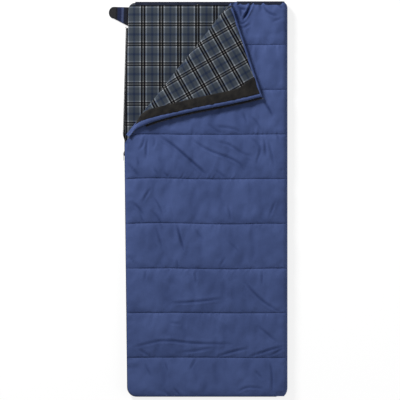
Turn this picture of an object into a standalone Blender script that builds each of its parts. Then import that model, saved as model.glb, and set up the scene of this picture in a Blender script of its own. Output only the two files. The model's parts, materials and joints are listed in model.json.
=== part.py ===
"""Rectangular quilted sleeping bag, lying flat with one head corner of its top turned back.

Metres, +Z up. X runs across the bag, +Y towards the head end, and the origin is on the flat
underside at the middle of the bag. The zip runs down the left side and along the foot.
"""

import math

import bmesh
import bpy
from mathutils import Matrix, Vector

# Outline of the bag, measured to the edges of the quilts
LENGTH = 1.95
HEAD_Y = LENGTH / 2 - 0.006
FOOT_Y = -LENGTH / 2 + 0.004
RIGHT_X = 0.4000
LEFT_HEAD_X = -0.3830
LEFT_KNEE_X = -0.4020
LEFT_KNEE_Y = 0.270
LEFT_FOOT_X = -0.3880
FOOT_CORNER_R = 0.045
HEAD_CORNER_R = 0.030

# Quilts: cloth, padding and sewn channels
QUILT = 0.022
CLOTH = 0.0012
GAP = 0.0003
SPACE = 0.014
EDGE_PINCH = 0.008
EDGE_FALL = 0.045
SEAM_PINCH = 0.009
SEAM_COUNT = 8
SEAM_PITCH = 0.220
FIRST_SEAM_Y = LENGTH / 2 - 0.215
CHANNEL_SHARES = (0.14, 0.50, 0.86)
EDGE_OFFSETS = (0.0, 0.006, 0.018, EDGE_FALL)

# Heights of the layers
TOP_Z = QUILT + SPACE
TOP_CROWN_Z = TOP_Z + QUILT
FLAP_Z = TOP_CROWN_Z + 0.002
SIDE_AXIS_Z = TOP_CROWN_Z / 2
FOLD_AXIS_Z = (TOP_CROWN_Z + FLAP_Z) / 2

# Fold of the turned-back corner: a point on its axis and the axis's angle to X
FOLD_POINT = Vector((-0.0806, 0.7185, 0.0))
FOLD_ANGLE = math.radians(51.5)
FOLD_ALONG = Vector((math.cos(FOLD_ANGLE), math.sin(FOLD_ANGLE), 0.0))
FOLD_ACROSS = Vector((math.sin(FOLD_ANGLE), -math.cos(FOLD_ANGLE), 0.0))
FOLD_OUTER = FLAP_Z + QUILT - FOLD_AXIS_Z
FOLD_INNER = FLAP_Z - FOLD_AXIS_Z
FLAP_CORNER = Vector((0.2720, 0.5040, 0.0))
FLAP_END = Vector((-0.3860, 0.2920, 0.0))
FLAP_BOW = 0.143
FLAP_BOW_POWER = 1.6
FLAP_HEAD_SKEW = 0.045
FLAP_LEAST = 0.020
BEND_FIT = 0.999
SIDE_CORNER_DRAW = 0.55
SIDE_CORNER_SINK = 0.05
FOLD_END_HEIGHT = 0.15
FOLD_END_BACK = 0.030
FOLD_HEAD_CLEAR = 0.004
FLAP_COLUMNS = (0.0, 0.02, 0.06, 0.14, 0.35, 0.65, 1.0)
FACING_COLUMNS = 4

# Zip
TAPE_THICK = 0.0008
TAPE_OUT = 0.001
COIL_R = 0.0016
TAPE_WIDTH = 0.0145
OPEN_TAPE_WIDTH = 0.008
BASE_COIL_Z = 0.0264
TOP_COIL_Z = SIDE_AXIS_Z * 2 - BASE_COIL_Z
CHAIN_END_Y = 0.205
TWIST_START_Y = 0.285
TWIST_END_Y = 0.345
FOOT_CHAIN_END_X = RIGHT_X - 0.060
SLIDER_Y = 0.225
SLIDER_LENGTH = 0.022
PULLER_LENGTH = 0.034
STOP_HALF = 0.0022
STOP_PAST_END = 0.0030

# Closing tab, measured out from the edge and along it from the tab's middle
TAB_Y = 0.902
TAB_OUT = 0.0025
TAB_Z = 0.0070
TAB_THICK = 0.0024
TAB_HALF_WIDTH = 0.046
TAB_ROOT_LENGTH = 0.056
TAB_TIP_OUT = 0.070
TAB_TIP_ALONG = 0.017
TAB_TIP_R = 0.0290
TAB_TIP_FLATTEN = 0.85
TAPE_TOP_Y = TAB_Y - TAB_HALF_WIDTH - 0.010

SLIDE_AXIS = Vector((LEFT_FOOT_X - LEFT_KNEE_X, FOOT_Y - LEFT_KNEE_Y, 0.0)).normalized()

COLOURS = {
    "shell": ((0.070, 0.095, 0.235), 0.55, 0.0),
    "lining": ((0.055, 0.070, 0.095), 0.90, 0.0),
    "fill": ((0.85, 0.85, 0.83), 0.95, 0.0),
    "binding": ((0.015, 0.020, 0.050), 0.70, 0.0),
    "facing": ((0.020, 0.018, 0.015), 0.75, 0.0),
    "thread": ((0.030, 0.045, 0.130), 0.70, 0.0),
    "zip": ((0.010, 0.010, 0.012), 0.55, 0.0),
    "metal": ((0.060, 0.060, 0.065), 0.35, 1.0),
    "webbing": ((0.030, 0.045, 0.150), 0.75, 0.0),
    "hook": ((0.025, 0.025, 0.028), 0.90, 0.0),
}


def clear_scene():
    for item in list(bpy.data.objects):
        bpy.data.objects.remove(item, do_unlink=True)


def make_material(name):
    colour, roughness, metallic = COLOURS[name]
    material = bpy.data.materials.new(name)
    material.use_nodes = True
    shader = material.node_tree.nodes["Principled BSDF"]
    shader.inputs["Base Color"].default_value = (*colour, 1.0)
    shader.inputs["Roughness"].default_value = roughness
    shader.inputs["Metallic"].default_value = metallic
    return material


def make_bodies():
    """One empty per moving body, on the axis that the body turns about or slides along."""
    places = {
        "base": (None, Vector((0.0, 0.0, 0.0))),
        "top": ("base", Vector((RIGHT_X, 0.0, SIDE_AXIS_Z))),
        "flap": ("top", Vector((FOLD_POINT.x, FOLD_POINT.y, FOLD_AXIS_Z))),
        "slider": ("base", Vector((*edge_point(SLIDER_Y, TAPE_OUT), SIDE_AXIS_Z))),
        "puller": ("slider", slider_place(Vector((PULLER_AXIS_X, 0.0, SIDE_AXIS_Z)))),
        "tab_root": ("base", tab_place(0.0, 0.0, TAB_Z)),
        "tab_tip": ("tab_root", tab_place(TAB_ROOT_LENGTH, 0.0, TAB_Z + TAB_THICK / 2)),
    }
    bodies = {}
    for name, (parent, place) in places.items():
        empty = bpy.data.objects.new("axis_" + name, None)
        bpy.context.collection.objects.link(empty)
        empty.location = place
        if parent:
            empty.parent = bodies[parent][0]
            empty.location = place - bodies[parent][1]
        bodies[name] = (empty, place)
    return bodies


def add_piece(name, body, material, vertices, faces, smooth=True):
    """A named solid whose own origin is on its body's axis. The vertices are world places."""
    empty, origin = BODIES[body]
    mesh = bpy.data.meshes.new(name)
    mesh.from_pydata([Vector(v) - origin for v in vertices], [], faces)
    work = bmesh.new()
    work.from_mesh(mesh)
    bmesh.ops.recalc_face_normals(work, faces=work.faces)
    work.to_mesh(mesh)
    work.free()
    mesh.materials.append(MATERIALS[material])
    if smooth:
        mesh.shade_smooth()
        mesh.set_sharp_from_angle(angle=math.radians(40))
    piece = bpy.data.objects.new(name, mesh)
    bpy.context.collection.objects.link(piece)
    piece.parent = empty
    return piece


def corner_inset(distance, radius):
    """How far a rounded corner draws the side in, at a distance from the end."""
    if distance >= radius:
        return 0.0
    return radius - math.sqrt(radius ** 2 - (radius - distance) ** 2)


def straight_left(y):
    """Left edge of the base quilt before its corners are rounded."""
    if y <= LEFT_KNEE_Y:
        share = (y - FOOT_Y) / (LEFT_KNEE_Y - FOOT_Y)
        return LEFT_FOOT_X + share * (LEFT_KNEE_X - LEFT_FOOT_X)
    share = (y - LEFT_KNEE_Y) / (HEAD_Y - LEFT_KNEE_Y)
    return LEFT_KNEE_X + share * (LEFT_HEAD_X - LEFT_KNEE_X)


def base_left(y):
    inset = corner_inset(y - FOOT_Y, FOOT_CORNER_R) + corner_inset(HEAD_Y - y, HEAD_CORNER_R)
    return straight_left(y) + inset


def quilt_right(y):
    return RIGHT_X - SIDE_AXIS_Z - GAP


def fold_x(y, across):
    """X of the line beside the fold axis, at a distance across it, positive over the top."""
    along = (y - FOLD_POINT.y) / math.tan(FOLD_ANGLE)
    return FOLD_POINT.x + along + across / math.sin(FOLD_ANGLE)


def top_left(y):
    return max(base_left(y), fold_x(y, FOLD_OUTER + GAP))


def fold_meets_left(across):
    """Y where a line beside the fold axis crosses the left edge."""
    low, high = 0.0, HEAD_Y
    for _ in range(60):
        middle = (low + high) / 2
        if fold_x(middle, across) < base_left(middle):
            low = middle
        else:
            high = middle
    return low


def edge_point(y, out):
    """A point beside the straight left edge, moved out across the bag."""
    return (straight_left(y) - out, y)


def seam_lines():
    return [FIRST_SEAM_Y - SEAM_PITCH * index for index in range(SEAM_COUNT)]


def seam_swell(y):
    """0 on a sewn line and 1 in the middle of a channel, round in between."""
    nearest = min(abs(y - line) for line in seam_lines())
    share = min(1.0, nearest / (SEAM_PITCH / 2))
    return math.sqrt(1.0 - (1.0 - share) ** 4)


def pressed_swell(y):
    """Swell of a channel that lies on the ground, flat but for the groove at each seam."""
    nearest = min(abs(y - line) for line in seam_lines())
    return min(1.0, nearest / (SEAM_PITCH * CHANNEL_SHARES[0]) + 1e-9)


def edge_rise(distance):
    """0 at a sewn edge and 1 from EDGE_FALL inwards, round in between."""
    share = min(1.0, distance / EDGE_FALL)
    return math.sqrt(1.0 - (1.0 - share) ** 2)


def quilt_rows(extra):
    """Y of each row of a quilt's grid, closer at the ends and at the sewn lines."""
    rows = set(extra)
    rows.update(FOOT_Y + offset for offset in EDGE_OFFSETS)
    rows.update(HEAD_Y - offset for offset in EDGE_OFFSETS)
    seams = seam_lines()
    rows.update(seams)
    for line in seams + [seams[0] + SEAM_PITCH]:
        rows.update(line - SEAM_PITCH * share for share in CHANNEL_SHARES)
    kept = []
    for y in sorted(y for y in rows if FOOT_Y <= y <= HEAD_Y):
        if not kept or y - kept[-1] > 0.004:
            kept.append(y)
    return kept


def quilt_grid(rows, left, right, left_is_sewn):
    """Grid points of a quilt with each one's distance to the nearest sewn edge."""
    points, distances = [], []
    for y in rows:
        start, end = left(y), right(y)
        end_distance = min(y - FOOT_Y, HEAD_Y - y)
        row, row_distances = [], []
        for offset in EDGE_OFFSETS:
            row.append((start + offset, y))
            side = offset if left_is_sewn(y) else EDGE_FALL
            row_distances.append(min(side, end_distance))
        for share in (0.5, 1.0):
            x = start + EDGE_FALL + (end - start - EDGE_FALL) * share
            row.append((x, y))
            row_distances.append(min(EDGE_FALL, end_distance))
        points.append(row)
        distances.append(row_distances)
    return points, distances


def field(points, distances, rule):
    """Heights by a rule of the row's place along the bag and of the rise from its sewn edges."""
    return [
        [rule(row[0][1], edge_rise(distance)) for distance in row_distances]
        for row, row_distances in zip(points, distances)
    ]


def raised(heights, amount):
    return [[z + amount for z in row] for row in heights]


def layer_solid(points, low, high):
    """Close the space between two height fields over one grid, with matching diagonals."""
    rows, columns = len(points), len(points[0])
    vertices = []
    for heights in (low, high):
        for row, row_heights in zip(points, heights):
            vertices.extend((x, y, z) for (x, y), z in zip(row, row_heights))
    upper = rows * columns

    def at(i, j):
        return i * columns + j

    faces = []
    for i in range(rows - 1):
        for j in range(columns - 1):
            a, b, c, d = at(i, j), at(i, j + 1), at(i + 1, j + 1), at(i + 1, j)
            faces.extend([(a, c, b), (a, d, c)])
            faces.extend([(a + upper, b + upper, c + upper), (a + upper, c + upper, d + upper)])
    border = [at(0, j) for j in range(columns)]
    border += [at(i, columns - 1) for i in range(1, rows)]
    border += [at(rows - 1, j) for j in range(columns - 2, -1, -1)]
    border += [at(i, 0) for i in range(rows - 2, 0, -1)]
    for a, b in zip(border, border[1:] + border[:1]):
        faces.append((a, b, b + upper, a + upper))
    return vertices, faces


def pick(grid, rows, columns):
    return [[grid[i][j] for j in columns] for i in rows]


def add_layers(prefix, body, points, low, high, shell_is_low, turn=None):
    """Shell, fill and lining of one quilt, nested over the same grid."""
    shell = (low, raised(low, CLOTH)) if shell_is_low else (raised(high, -CLOTH), high)
    lining = (raised(high, -CLOTH), high) if shell_is_low else (low, raised(low, CLOTH))
    fill = (raised(low, CLOTH + GAP), raised(high, -CLOTH - GAP))
    for name, (under, over) in (("shell", shell), ("fill", fill), ("lining", lining)):
        vertices, faces = layer_solid(points, under, over)
        if turn:
            vertices = [turn @ Vector(v) for v in vertices]
        add_piece(prefix + "_" + name, body, name, vertices, faces)


def trimmed(line, length):
    """A line of points shortened at both ends, along its own slope."""
    ends = []
    for end, inner in ((line[0], line[1]), (line[-1], line[-2])):
        share = min(0.5, length / abs(inner.x - end.x))
        ends.append(end.lerp(inner, share))
    return [ends[0]] + line[1:-1] + [ends[1]]


def add_seam_threads(prefix, body, points, heights, side, turn=None):
    """One quilting thread in the groove of each sewn line that crosses the quilt."""
    half_width, clear, thick, end_gap = 0.0008, 0.0005, 0.0008, 0.003
    for number, line in enumerate(seam_lines(), start=1):
        for row, row_heights in zip(points, heights):
            if abs(row[0][1] - line) > 1e-6:
                continue
            groove = trimmed([Vector((x, y, z)) for (x, y), z in zip(row, row_heights)], end_gap)
            strip = [[(p.x, p.y + shift) for p in groove] for shift in (-half_width, half_width)]
            near = [[p.z + side * clear for p in groove]] * 2
            far = [[p.z + side * (clear + thick) for p in groove]] * 2
            low, high = (near, far) if side > 0 else (far, near)
            vertices, faces = layer_solid(strip, low, high)
            if turn:
                vertices = [turn @ Vector(v) for v in vertices]
            add_piece("%s_seam_thread_%d" % (prefix, number), body, "thread", vertices, faces)


def make_base():
    rows = quilt_rows([LEFT_KNEE_Y])
    points, distances = quilt_grid(rows, base_left, quilt_right, lambda y: True)
    low = field(
        points, distances,
        lambda y, rise: EDGE_PINCH * (1 - rise) + SEAM_PINCH * (1 - pressed_swell(y)) * rise,
    )
    high = field(points, distances, lambda y, rise: QUILT - EDGE_PINCH * (1 - rise))
    add_layers("base", "base", points, low, high, shell_is_low=True)
    add_seam_threads("base", "base", points, low, -1)


def top_fields(points, distances):
    low = field(points, distances, lambda y, rise: TOP_Z + EDGE_PINCH * (1 - rise))
    high = field(
        points, distances,
        lambda y, rise: TOP_CROWN_Z - EDGE_PINCH * (1 - rise)
        - SEAM_PINCH * (1 - seam_swell(y)) * rise,
    )
    return low, high


def make_top():
    fold_row = fold_meets_left(FOLD_OUTER + GAP)
    rows = [y for y in quilt_rows([]) if abs(y - fold_row) > 0.012]
    rows = sorted(rows + [fold_row])
    points, distances = quilt_grid(rows, top_left, quilt_right, lambda y: y < fold_row)
    low, high = top_fields(points, distances)
    add_layers("top", "top", points, low, high, shell_is_low=False)
    add_seam_threads("top", "top", points, high, 1)


def half_turn():
    """Turns the corner from its closed place to where it lies folded back on the top."""
    centre = Vector((FOLD_POINT.x, FOLD_POINT.y, FOLD_AXIS_Z))
    return Matrix.Translation(centre) @ Matrix.Rotation(math.pi, 4, FOLD_ALONG) @ Matrix.Translation(-centre)


def flap_edges():
    """Closed-place ends of the corner's zip edge and of its side along the fold."""
    turn = half_turn()
    corner = turn @ FLAP_CORNER
    end = turn @ FLAP_END
    return end, corner


def flap_left(y):
    """Zip edge of the corner, which bows in most near the end of the fold."""
    end, corner = flap_edges()
    share = (y - end.y) / (corner.y - end.y)
    bow = FLAP_BOW * math.sqrt(max(0.0, share)) * max(0.0, 1 - share) ** FLAP_BOW_POWER
    return end.x + (corner.x - end.x) * share + bow


def flap_right(y):
    return fold_x(y, -FOLD_OUTER - GAP)


def flap_start():
    """Closed-place Y where the corner, narrowing along the fold, is FLAP_LEAST wide."""
    low, high = 0.0, HEAD_Y
    for _ in range(60):
        middle = (low + high) / 2
        if flap_right(middle) - flap_left(middle) < FLAP_LEAST:
            low = middle
        else:
            high = middle
    return low


def flap_grid():
    """Grid of the corner in its closed place, narrowing to a point where the fold ends.

    The rows lean more and more towards the head, where the cloth is pulled askew.
    """
    _, corner = flap_edges()
    head = corner.y
    start_y = flap_start()
    rows = [y for y in quilt_rows([]) if start_y + 0.012 < y < head - 0.03]
    rows = [start_y] + rows + [head - 0.018, head - 0.006, head]
    points, distances = [], []
    for y in rows:
        stop_y = y - FLAP_HEAD_SKEW * (y - start_y) / (head - start_y)
        start, stop = flap_left(y), flap_right(stop_y)
        width = stop - start
        points.append([(start + width * share, y + (stop_y - y) * share) for share in FLAP_COLUMNS])
        distances.append([min(share * width, head - y) for share in FLAP_COLUMNS])
    return points, distances


def make_flap():
    points, distances = flap_grid()
    low, high = top_fields(points, distances)
    turn = half_turn()
    add_layers("flap", "flap", points, low, high, shell_is_low=False, turn=turn)
    add_seam_threads("flap", "flap", points, high, 1, turn=turn)

    every_row = range(len(points))
    columns = range(FACING_COLUMNS)
    facing_points = pick(points, every_row, columns)
    facing_high = raised(pick(low, every_row, columns), -GAP)
    facing_low = raised(facing_high, -CLOTH)
    vertices, faces = layer_solid(facing_points, facing_low, facing_high)
    add_piece("flap_facing", "flap", "facing", [turn @ Vector(v) for v in vertices], faces)


def loft(sections):
    """Skin a row of equal closed sections and cap its two ends."""
    count = len(sections[0])
    vertices = [point for section in sections for point in section]
    faces = []
    for i in range(len(sections) - 1):
        for j in range(count):
            k = (j + 1) % count
            faces.append((i * count + j, i * count + k, (i + 1) * count + k, (i + 1) * count + j))
    last = (len(sections) - 1) * count
    faces.append(tuple(range(count)))
    faces.append(tuple(last + j for j in range(count)))
    return vertices, faces


def bend_section(inner, outer, steps=10):
    """Half ring in its own plane: pairs of (reach, height) around a fold."""
    turns = [math.pi * (step / steps - 0.5) for step in range(steps + 1)]
    ring = [(outer * math.cos(t), outer * math.sin(t)) for t in turns]
    ring += [(inner * math.cos(t), inner * math.sin(t)) for t in reversed(turns)]
    return ring


def make_side_fold():
    """The quilt's bend along the right side, rounded off at the foot and the head."""
    ring = bend_section(SPACE / 2, SIDE_AXIS_Z)
    offsets = [(FOOT_Y, 1), (HEAD_Y, -1)]
    stations = [end + side * offset for end, side in offsets for offset in EDGE_OFFSETS]
    sections = []
    for y in sorted(stations):
        inset = corner_inset(y - FOOT_Y, FOOT_CORNER_R) + corner_inset(HEAD_Y - y, HEAD_CORNER_R)
        reach = 1.0 - SIDE_CORNER_DRAW * min(1.0, inset / SIDE_AXIS_Z)
        fit = BEND_FIT - SIDE_CORNER_SINK * (1 - reach)
        start = RIGHT_X - SIDE_AXIS_Z
        sections.append([
            (start + reach * across, y, SIDE_AXIS_Z + height * fit) for across, height in ring
        ])
    add_piece("side_fold", "base", "shell", *loft(sections))


def make_fold_bend():
    """The quilt's bend where the corner is turned back, lining outermost."""
    ring = bend_section(FOLD_INNER, FOLD_OUTER)
    head = (HEAD_Y - FOLD_HEAD_CLEAR - FOLD_POINT.y) / math.sin(FOLD_ANGLE)
    left = (fold_meets_left(FOLD_OUTER) + FOLD_END_BACK - FOLD_POINT.y) / math.sin(FOLD_ANGLE)
    flap_end = half_turn() @ Vector((flap_right(flap_start()), flap_start(), 0.0))
    full = (flap_end - FOLD_POINT).dot(FOLD_ALONG)
    right = head - FOLD_OUTER / math.tan(FOLD_ANGLE)
    sections = []
    stations = ((left, FOLD_END_HEIGHT), (full, BEND_FIT), (0.0, BEND_FIT), (right, BEND_FIT))
    for along, upper in stations:
        centre = FOLD_POINT + FOLD_ALONG * along + FOLD_ACROSS * FOLD_OUTER
        sections.append([
            centre - FOLD_ACROSS * across
            + Vector((0, 0, FOLD_AXIS_Z + height * (upper if height > 0 else 1.0)))
            for across, height in ring
        ])
    add_piece("fold_bend", "top", "lining", *loft(sections))


def bar_sections(path, across, up, half_across, half_up):
    """Flat bar along a path, with slightly rounded long edges."""
    corner = 0.3
    shape = [(1, -1 + corner), (1, 1 - corner), (1 - corner, 1), (-1 + corner, 1),
             (-1, 1 - corner), (-1, -1 + corner), (-1 + corner, -1), (1 - corner, -1)]
    return [
        [point + across * (a * half_across) + up * (b * half_up) for a, b in shape]
        for point in path
    ]


def make_bindings():
    """Dark bindings along the head edges of the base, the top and the turned-back corner."""
    half_depth, half_height, inset = 0.0027, 0.0048, 0.002
    up, across = Vector((0, 0, 1)), Vector((0, 1, 0))
    y = HEAD_Y + GAP + half_depth
    spans = {
        "base": (base_left(HEAD_Y) + inset, quilt_right(HEAD_Y), QUILT / 2),
        "top": (top_left(HEAD_Y) + inset, quilt_right(HEAD_Y), TOP_Z + QUILT / 2),
    }
    for body, (start, end, z) in spans.items():
        path = [Vector((start, y, z)), Vector(((start + end) / 2, y, z)), Vector((end, y, z))]
        sections = bar_sections(path, across, up, half_depth, half_height)
        add_piece(body + "_head_binding", body, "binding", *loft(sections))

    points, _ = flap_grid()
    turn = half_turn()
    first, last = points[-1][0], points[-1][-1]
    start = Vector((*first, TOP_Z + QUILT / 2)) + across * (GAP + half_depth)
    end = Vector((*last, TOP_Z + QUILT / 2)) + across * (GAP + half_depth)
    path = [start.lerp(end, share) for share in (inset / (end.x - start.x), 0.5, 1.0)]
    sections = bar_sections(path, across, up, half_depth, half_height)
    sections = [[turn @ point for point in section] for section in sections]
    add_piece("flap_head_binding", "flap", "binding", *loft(sections))


def chain_path(start_y):
    """Line of the zip just outside the quilts: down the left side, round the corner, along the foot.

    Gives each point with the direction that faces out of the bag there.
    """
    path = []
    out = Vector((SLIDE_AXIS.y, -SLIDE_AXIS.x, 0.0))
    corner_y = FOOT_Y + FOOT_CORNER_R
    for y in (start_y, (start_y + corner_y) / 2, corner_y):
        path.append((Vector((straight_left(y), y, 0.0)), out))
    steps = 6
    centre = Vector((straight_left(corner_y) + FOOT_CORNER_R, corner_y, 0.0))
    for step in range(1, steps + 1):
        turn = math.pi / 2 * step / steps
        facing = Vector((-math.cos(turn), -math.sin(turn), 0.0))
        path.append((centre + facing * FOOT_CORNER_R, facing))
    path.append((Vector((0.0, FOOT_Y, 0.0)), Vector((0, -1, 0))))
    path.append((Vector((FOOT_CHAIN_END_X, FOOT_Y, 0.0)), Vector((0, -1, 0))))
    return path


def open_path():
    """Free run of the base's zip up to the head, leaning over from upright to flat."""
    path = []
    for share in (1.0, 0.75, 0.5, 0.25, 0.0):
        y = TWIST_START_Y + (TWIST_END_Y - TWIST_START_Y) * share
        path.append((y, share))
    return [(TAPE_TOP_Y, 1.0), ((TAPE_TOP_Y + TWIST_END_Y) / 2, 1.0)] + path


def tape_section(foot, reach, normal, width):
    half = normal * (TAPE_THICK / 2)
    return [foot + half, foot + reach * width + half, foot + reach * width - half, foot - half]


def coil_section(centre, axis_a, axis_b):
    sides = 6
    turns = [2 * math.pi * side / sides for side in range(sides)]
    return [centre + (axis_a * math.cos(t) + axis_b * math.sin(t)) * COIL_R for t in turns]


def make_base_zip():
    up = Vector((0, 0, 1))
    foot_z = BASE_COIL_Z - COIL_R - GAP - TAPE_WIDTH
    tape, coil = [], []
    for y, lean in open_path():
        out = Vector((-1, 0, 0))
        angle = lean * math.pi / 2
        reach = up * math.cos(angle) + out * math.sin(angle)
        normal = up * math.sin(angle) - out * math.cos(angle)
        width = TAPE_WIDTH + (OPEN_TAPE_WIDTH - TAPE_WIDTH) * lean
        foot = Vector((straight_left(y) - TAPE_OUT, y, foot_z))
        tape.append(tape_section(foot, reach, normal, width))
        coil.append(coil_section(foot + reach * (width + GAP + COIL_R), reach, normal))
    for point, out in chain_path(SLIDER_Y + SLIDER_LENGTH):
        foot = point + out * TAPE_OUT + up * foot_z
        tape.append(tape_section(foot, up, -out, TAPE_WIDTH))
        coil.append(coil_section(foot + up * (TAPE_WIDTH + GAP + COIL_R), up, -out))
    add_piece("base_zip_tape", "base", "zip", *loft(tape), smooth=False)
    add_piece("base_zip_coil", "base", "zip", *loft(coil))

    stop_x = straight_left(TAPE_TOP_Y) - TAPE_OUT - OPEN_TAPE_WIDTH - GAP - COIL_R
    add_stop("base_top_stop", "base", Vector((stop_x, TAPE_TOP_Y + STOP_PAST_END, foot_z)), None)
    bottom = Vector((FOOT_CHAIN_END_X + STOP_PAST_END, FOOT_Y - TAPE_OUT, BASE_COIL_Z))
    add_stop("zip_bottom_stop", "base", bottom, None)


def make_top_zip():
    up = Vector((0, 0, 1))
    tape, coil = [], []
    foot_z = TOP_COIL_Z + COIL_R + GAP + TAPE_WIDTH
    for point, out in chain_path(CHAIN_END_Y - 0.010):
        foot = point + out * TAPE_OUT + up * foot_z
        tape.append(tape_section(foot, -up, -out, TAPE_WIDTH))
        coil.append(coil_section(foot - up * (TAPE_WIDTH + GAP + COIL_R), up, -out))
    add_piece("top_zip_tape", "top", "zip", *loft(tape), smooth=False)
    add_piece("top_zip_coil", "top", "zip", *loft(coil))


def make_flap_zip():
    """The corner's own run of zip, lying flat along its free edge."""
    turn = half_turn()
    points, _ = flap_grid()
    z = TOP_Z + QUILT / 2
    edge = [Vector((*row[0], z)) for row in points]
    up = Vector((0, 0, 1))
    tape, coil = [], []
    for index, point in enumerate(edge):
        before, after = edge[max(0, index - 1)], edge[min(len(edge) - 1, index + 1)]
        along = (after - before).normalized()
        out = up.cross(along)
        foot = point + out * GAP
        section = tape_section(foot, out, up, OPEN_TAPE_WIDTH)
        tape.append([turn @ corner for corner in section])
        centre = foot + out * (OPEN_TAPE_WIDTH + GAP + COIL_R)
        coil.append([turn @ corner for corner in coil_section(centre, out, up)])
    add_piece("flap_zip_tape", "flap", "zip", *loft(tape), smooth=False)
    add_piece("flap_zip_coil", "flap", "zip", *loft(coil))
    end = edge[-1] + out * (GAP * 2 + OPEN_TAPE_WIDTH + COIL_R) + along * STOP_PAST_END
    add_stop("flap_top_stop", "flap", end, turn)


def add_stop(name, body, centre, turn):
    """Small metal clamp at the end of a coil."""
    rise = Vector((0, 0, STOP_HALF))
    across, along = Vector((1, 0, 0)), Vector((0, 1, 0))
    sections = bar_sections([centre - rise, centre + rise], across, along, STOP_HALF, STOP_HALF)
    if turn:
        sections = [[turn @ point for point in section] for section in sections]
    add_piece(name, body, "metal", *loft(sections))


# Slider section, across the chain from the tape's middle plane
PLATE_IN = 0.0022
PLATE_OUT = 0.0040
LIP_IN = 0.0008
SLIDER_LOW_Z = BASE_COIL_Z - COIL_R - 0.0034
SLIDER_HIGH_Z = TOP_COIL_Z + COIL_R + 0.0018
LIP_HIGH_Z = BASE_COIL_Z - COIL_R - 0.0004
BRIDGE_HALF = (TOP_COIL_Z - BASE_COIL_Z) / 2 - COIL_R - 0.0004
BRIDGE_START = 0.004
CROWN_REACH = 0.0082
CROWN_BAR = 0.0012
CROWN_HALF_LENGTH = 0.0050
CROWN_HALF_HEIGHT = 0.0015
CROWN_ROUND = 0.001
CROWN_SINK = 0.0005
PLATE_ROUND = 0.0008
PULLER_AXIS_X = -0.0055
PULLER_PIN_R = 0.0009


def slider_place(point):
    """World place of a point given across, along and up from the middle of the slider."""
    x, y = edge_point(SLIDER_Y, TAPE_OUT)
    across = Vector((-SLIDE_AXIS.y, SLIDE_AXIS.x, 0.0))
    moved = Vector((x, y, 0.0)) + across * point.x - SLIDE_AXIS * point.y
    return moved + Vector((0.0, 0.0, point.z))


def prism(outline, start, end):
    """Extrude a closed outline of (x, z) points along the slider."""
    return loft([[slider_place(Vector((x, y, z))) for x, z in outline] for y in (start, end)])


def add_union(piece, tools):
    """Join helper solids into a piece and keep them as hidden wire guides."""
    for tool in tools:
        tool.hide_render = True
        tool.display_type = "WIRE"
        union = piece.modifiers.new("join_" + tool.name, "BOOLEAN")
        union.operation = "UNION"
        union.object = tool


def make_slider():
    half = SLIDER_LENGTH / 2
    plates = []
    for side, name in ((-1, "zip_slider"), (1, "slider_inner_plate")):
        outline = [
            (side * PLATE_IN, LIP_HIGH_Z), (side * PLATE_IN, SLIDER_HIGH_Z),
            (side * PLATE_OUT, SLIDER_HIGH_Z - PLATE_ROUND), (side * PLATE_OUT, SLIDER_LOW_Z + PLATE_ROUND),
            (side * (PLATE_OUT - PLATE_ROUND), SLIDER_LOW_Z), (side * LIP_IN, SLIDER_LOW_Z),
            (side * LIP_IN, LIP_HIGH_Z),
        ]
        solid = prism(outline, -half, half)
        plates.append(add_piece(name, "slider", "metal", *solid, smooth=False))
    bridge_reach = PLATE_IN + 0.0006
    bridge = [
        (-bridge_reach, SIDE_AXIS_Z - BRIDGE_HALF), (bridge_reach, SIDE_AXIS_Z - BRIDGE_HALF),
        (bridge_reach, SIDE_AXIS_Z + BRIDGE_HALF), (-bridge_reach, SIDE_AXIS_Z + BRIDGE_HALF),
    ]
    tools = [plates[1]]
    solid = prism(bridge, BRIDGE_START, half - CROWN_ROUND)
    tools.append(add_piece("slider_bridge", "slider", "metal", *solid))
    root, reach, half_crown = -PLATE_OUT + CROWN_SINK, -CROWN_REACH, CROWN_HALF_LENGTH
    crown = [
        (root, -half_crown), (reach + CROWN_ROUND, -half_crown), (reach, -half_crown + CROWN_ROUND),
        (reach, half_crown - CROWN_ROUND), (reach + CROWN_ROUND, half_crown), (root, half_crown),
        (root, half_crown - CROWN_BAR), (reach + CROWN_BAR, half_crown - CROWN_BAR),
        (reach + CROWN_BAR, -half_crown + CROWN_BAR), (root, -half_crown + CROWN_BAR),
    ]
    heights = (SIDE_AXIS_Z - CROWN_HALF_HEIGHT, SIDE_AXIS_Z + CROWN_HALF_HEIGHT)
    sections = [[slider_place(Vector((x, y, z))) for x, y in crown] for z in heights]
    tools.append(add_piece("slider_crown", "slider", "metal", *loft(sections)))
    add_union(plates[0], tools)


def make_puller():
    """Flat pull with a window at its root, hung on a pin under the slider's crown."""
    arm, gap = 0.0014, CROWN_HALF_HEIGHT + 0.0005
    half_width = gap + arm
    half_thick = PULLER_PIN_R
    window_end = -0.0085
    outer = [(0.0012, -half_width), (0.0012, half_width)]
    tip_steps = 8
    for step in range(tip_steps + 1):
        turn = math.pi / 2 + math.pi * step / tip_steps
        outer.append((
            -PULLER_LENGTH + half_width * (1 + math.cos(turn)),
            half_width * math.sin(turn),
        ))
    solid = []
    for side in (-half_thick, half_thick):
        solid.append([
            slider_place(Vector((PULLER_AXIS_X + side, y, SIDE_AXIS_Z + z))) for y, z in outer
        ])
    puller = add_piece("zip_puller", "puller", "metal", *loft(solid))
    window = [(-PULLER_PIN_R, -gap), (-PULLER_PIN_R, gap), (window_end, gap), (window_end, -gap)]
    cut = []
    for side in (-4 * half_thick, 4 * half_thick):
        cut.append([
            slider_place(Vector((PULLER_AXIS_X + side, y, SIDE_AXIS_Z + z))) for y, z in window
        ])
    cutter = add_piece("puller_window", "puller", "metal", *loft(cut))
    cutter.hide_render = True
    cutter.display_type = "WIRE"
    opening = puller.modifiers.new("window", "BOOLEAN")
    opening.operation = "DIFFERENCE"
    opening.object = cutter


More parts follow.
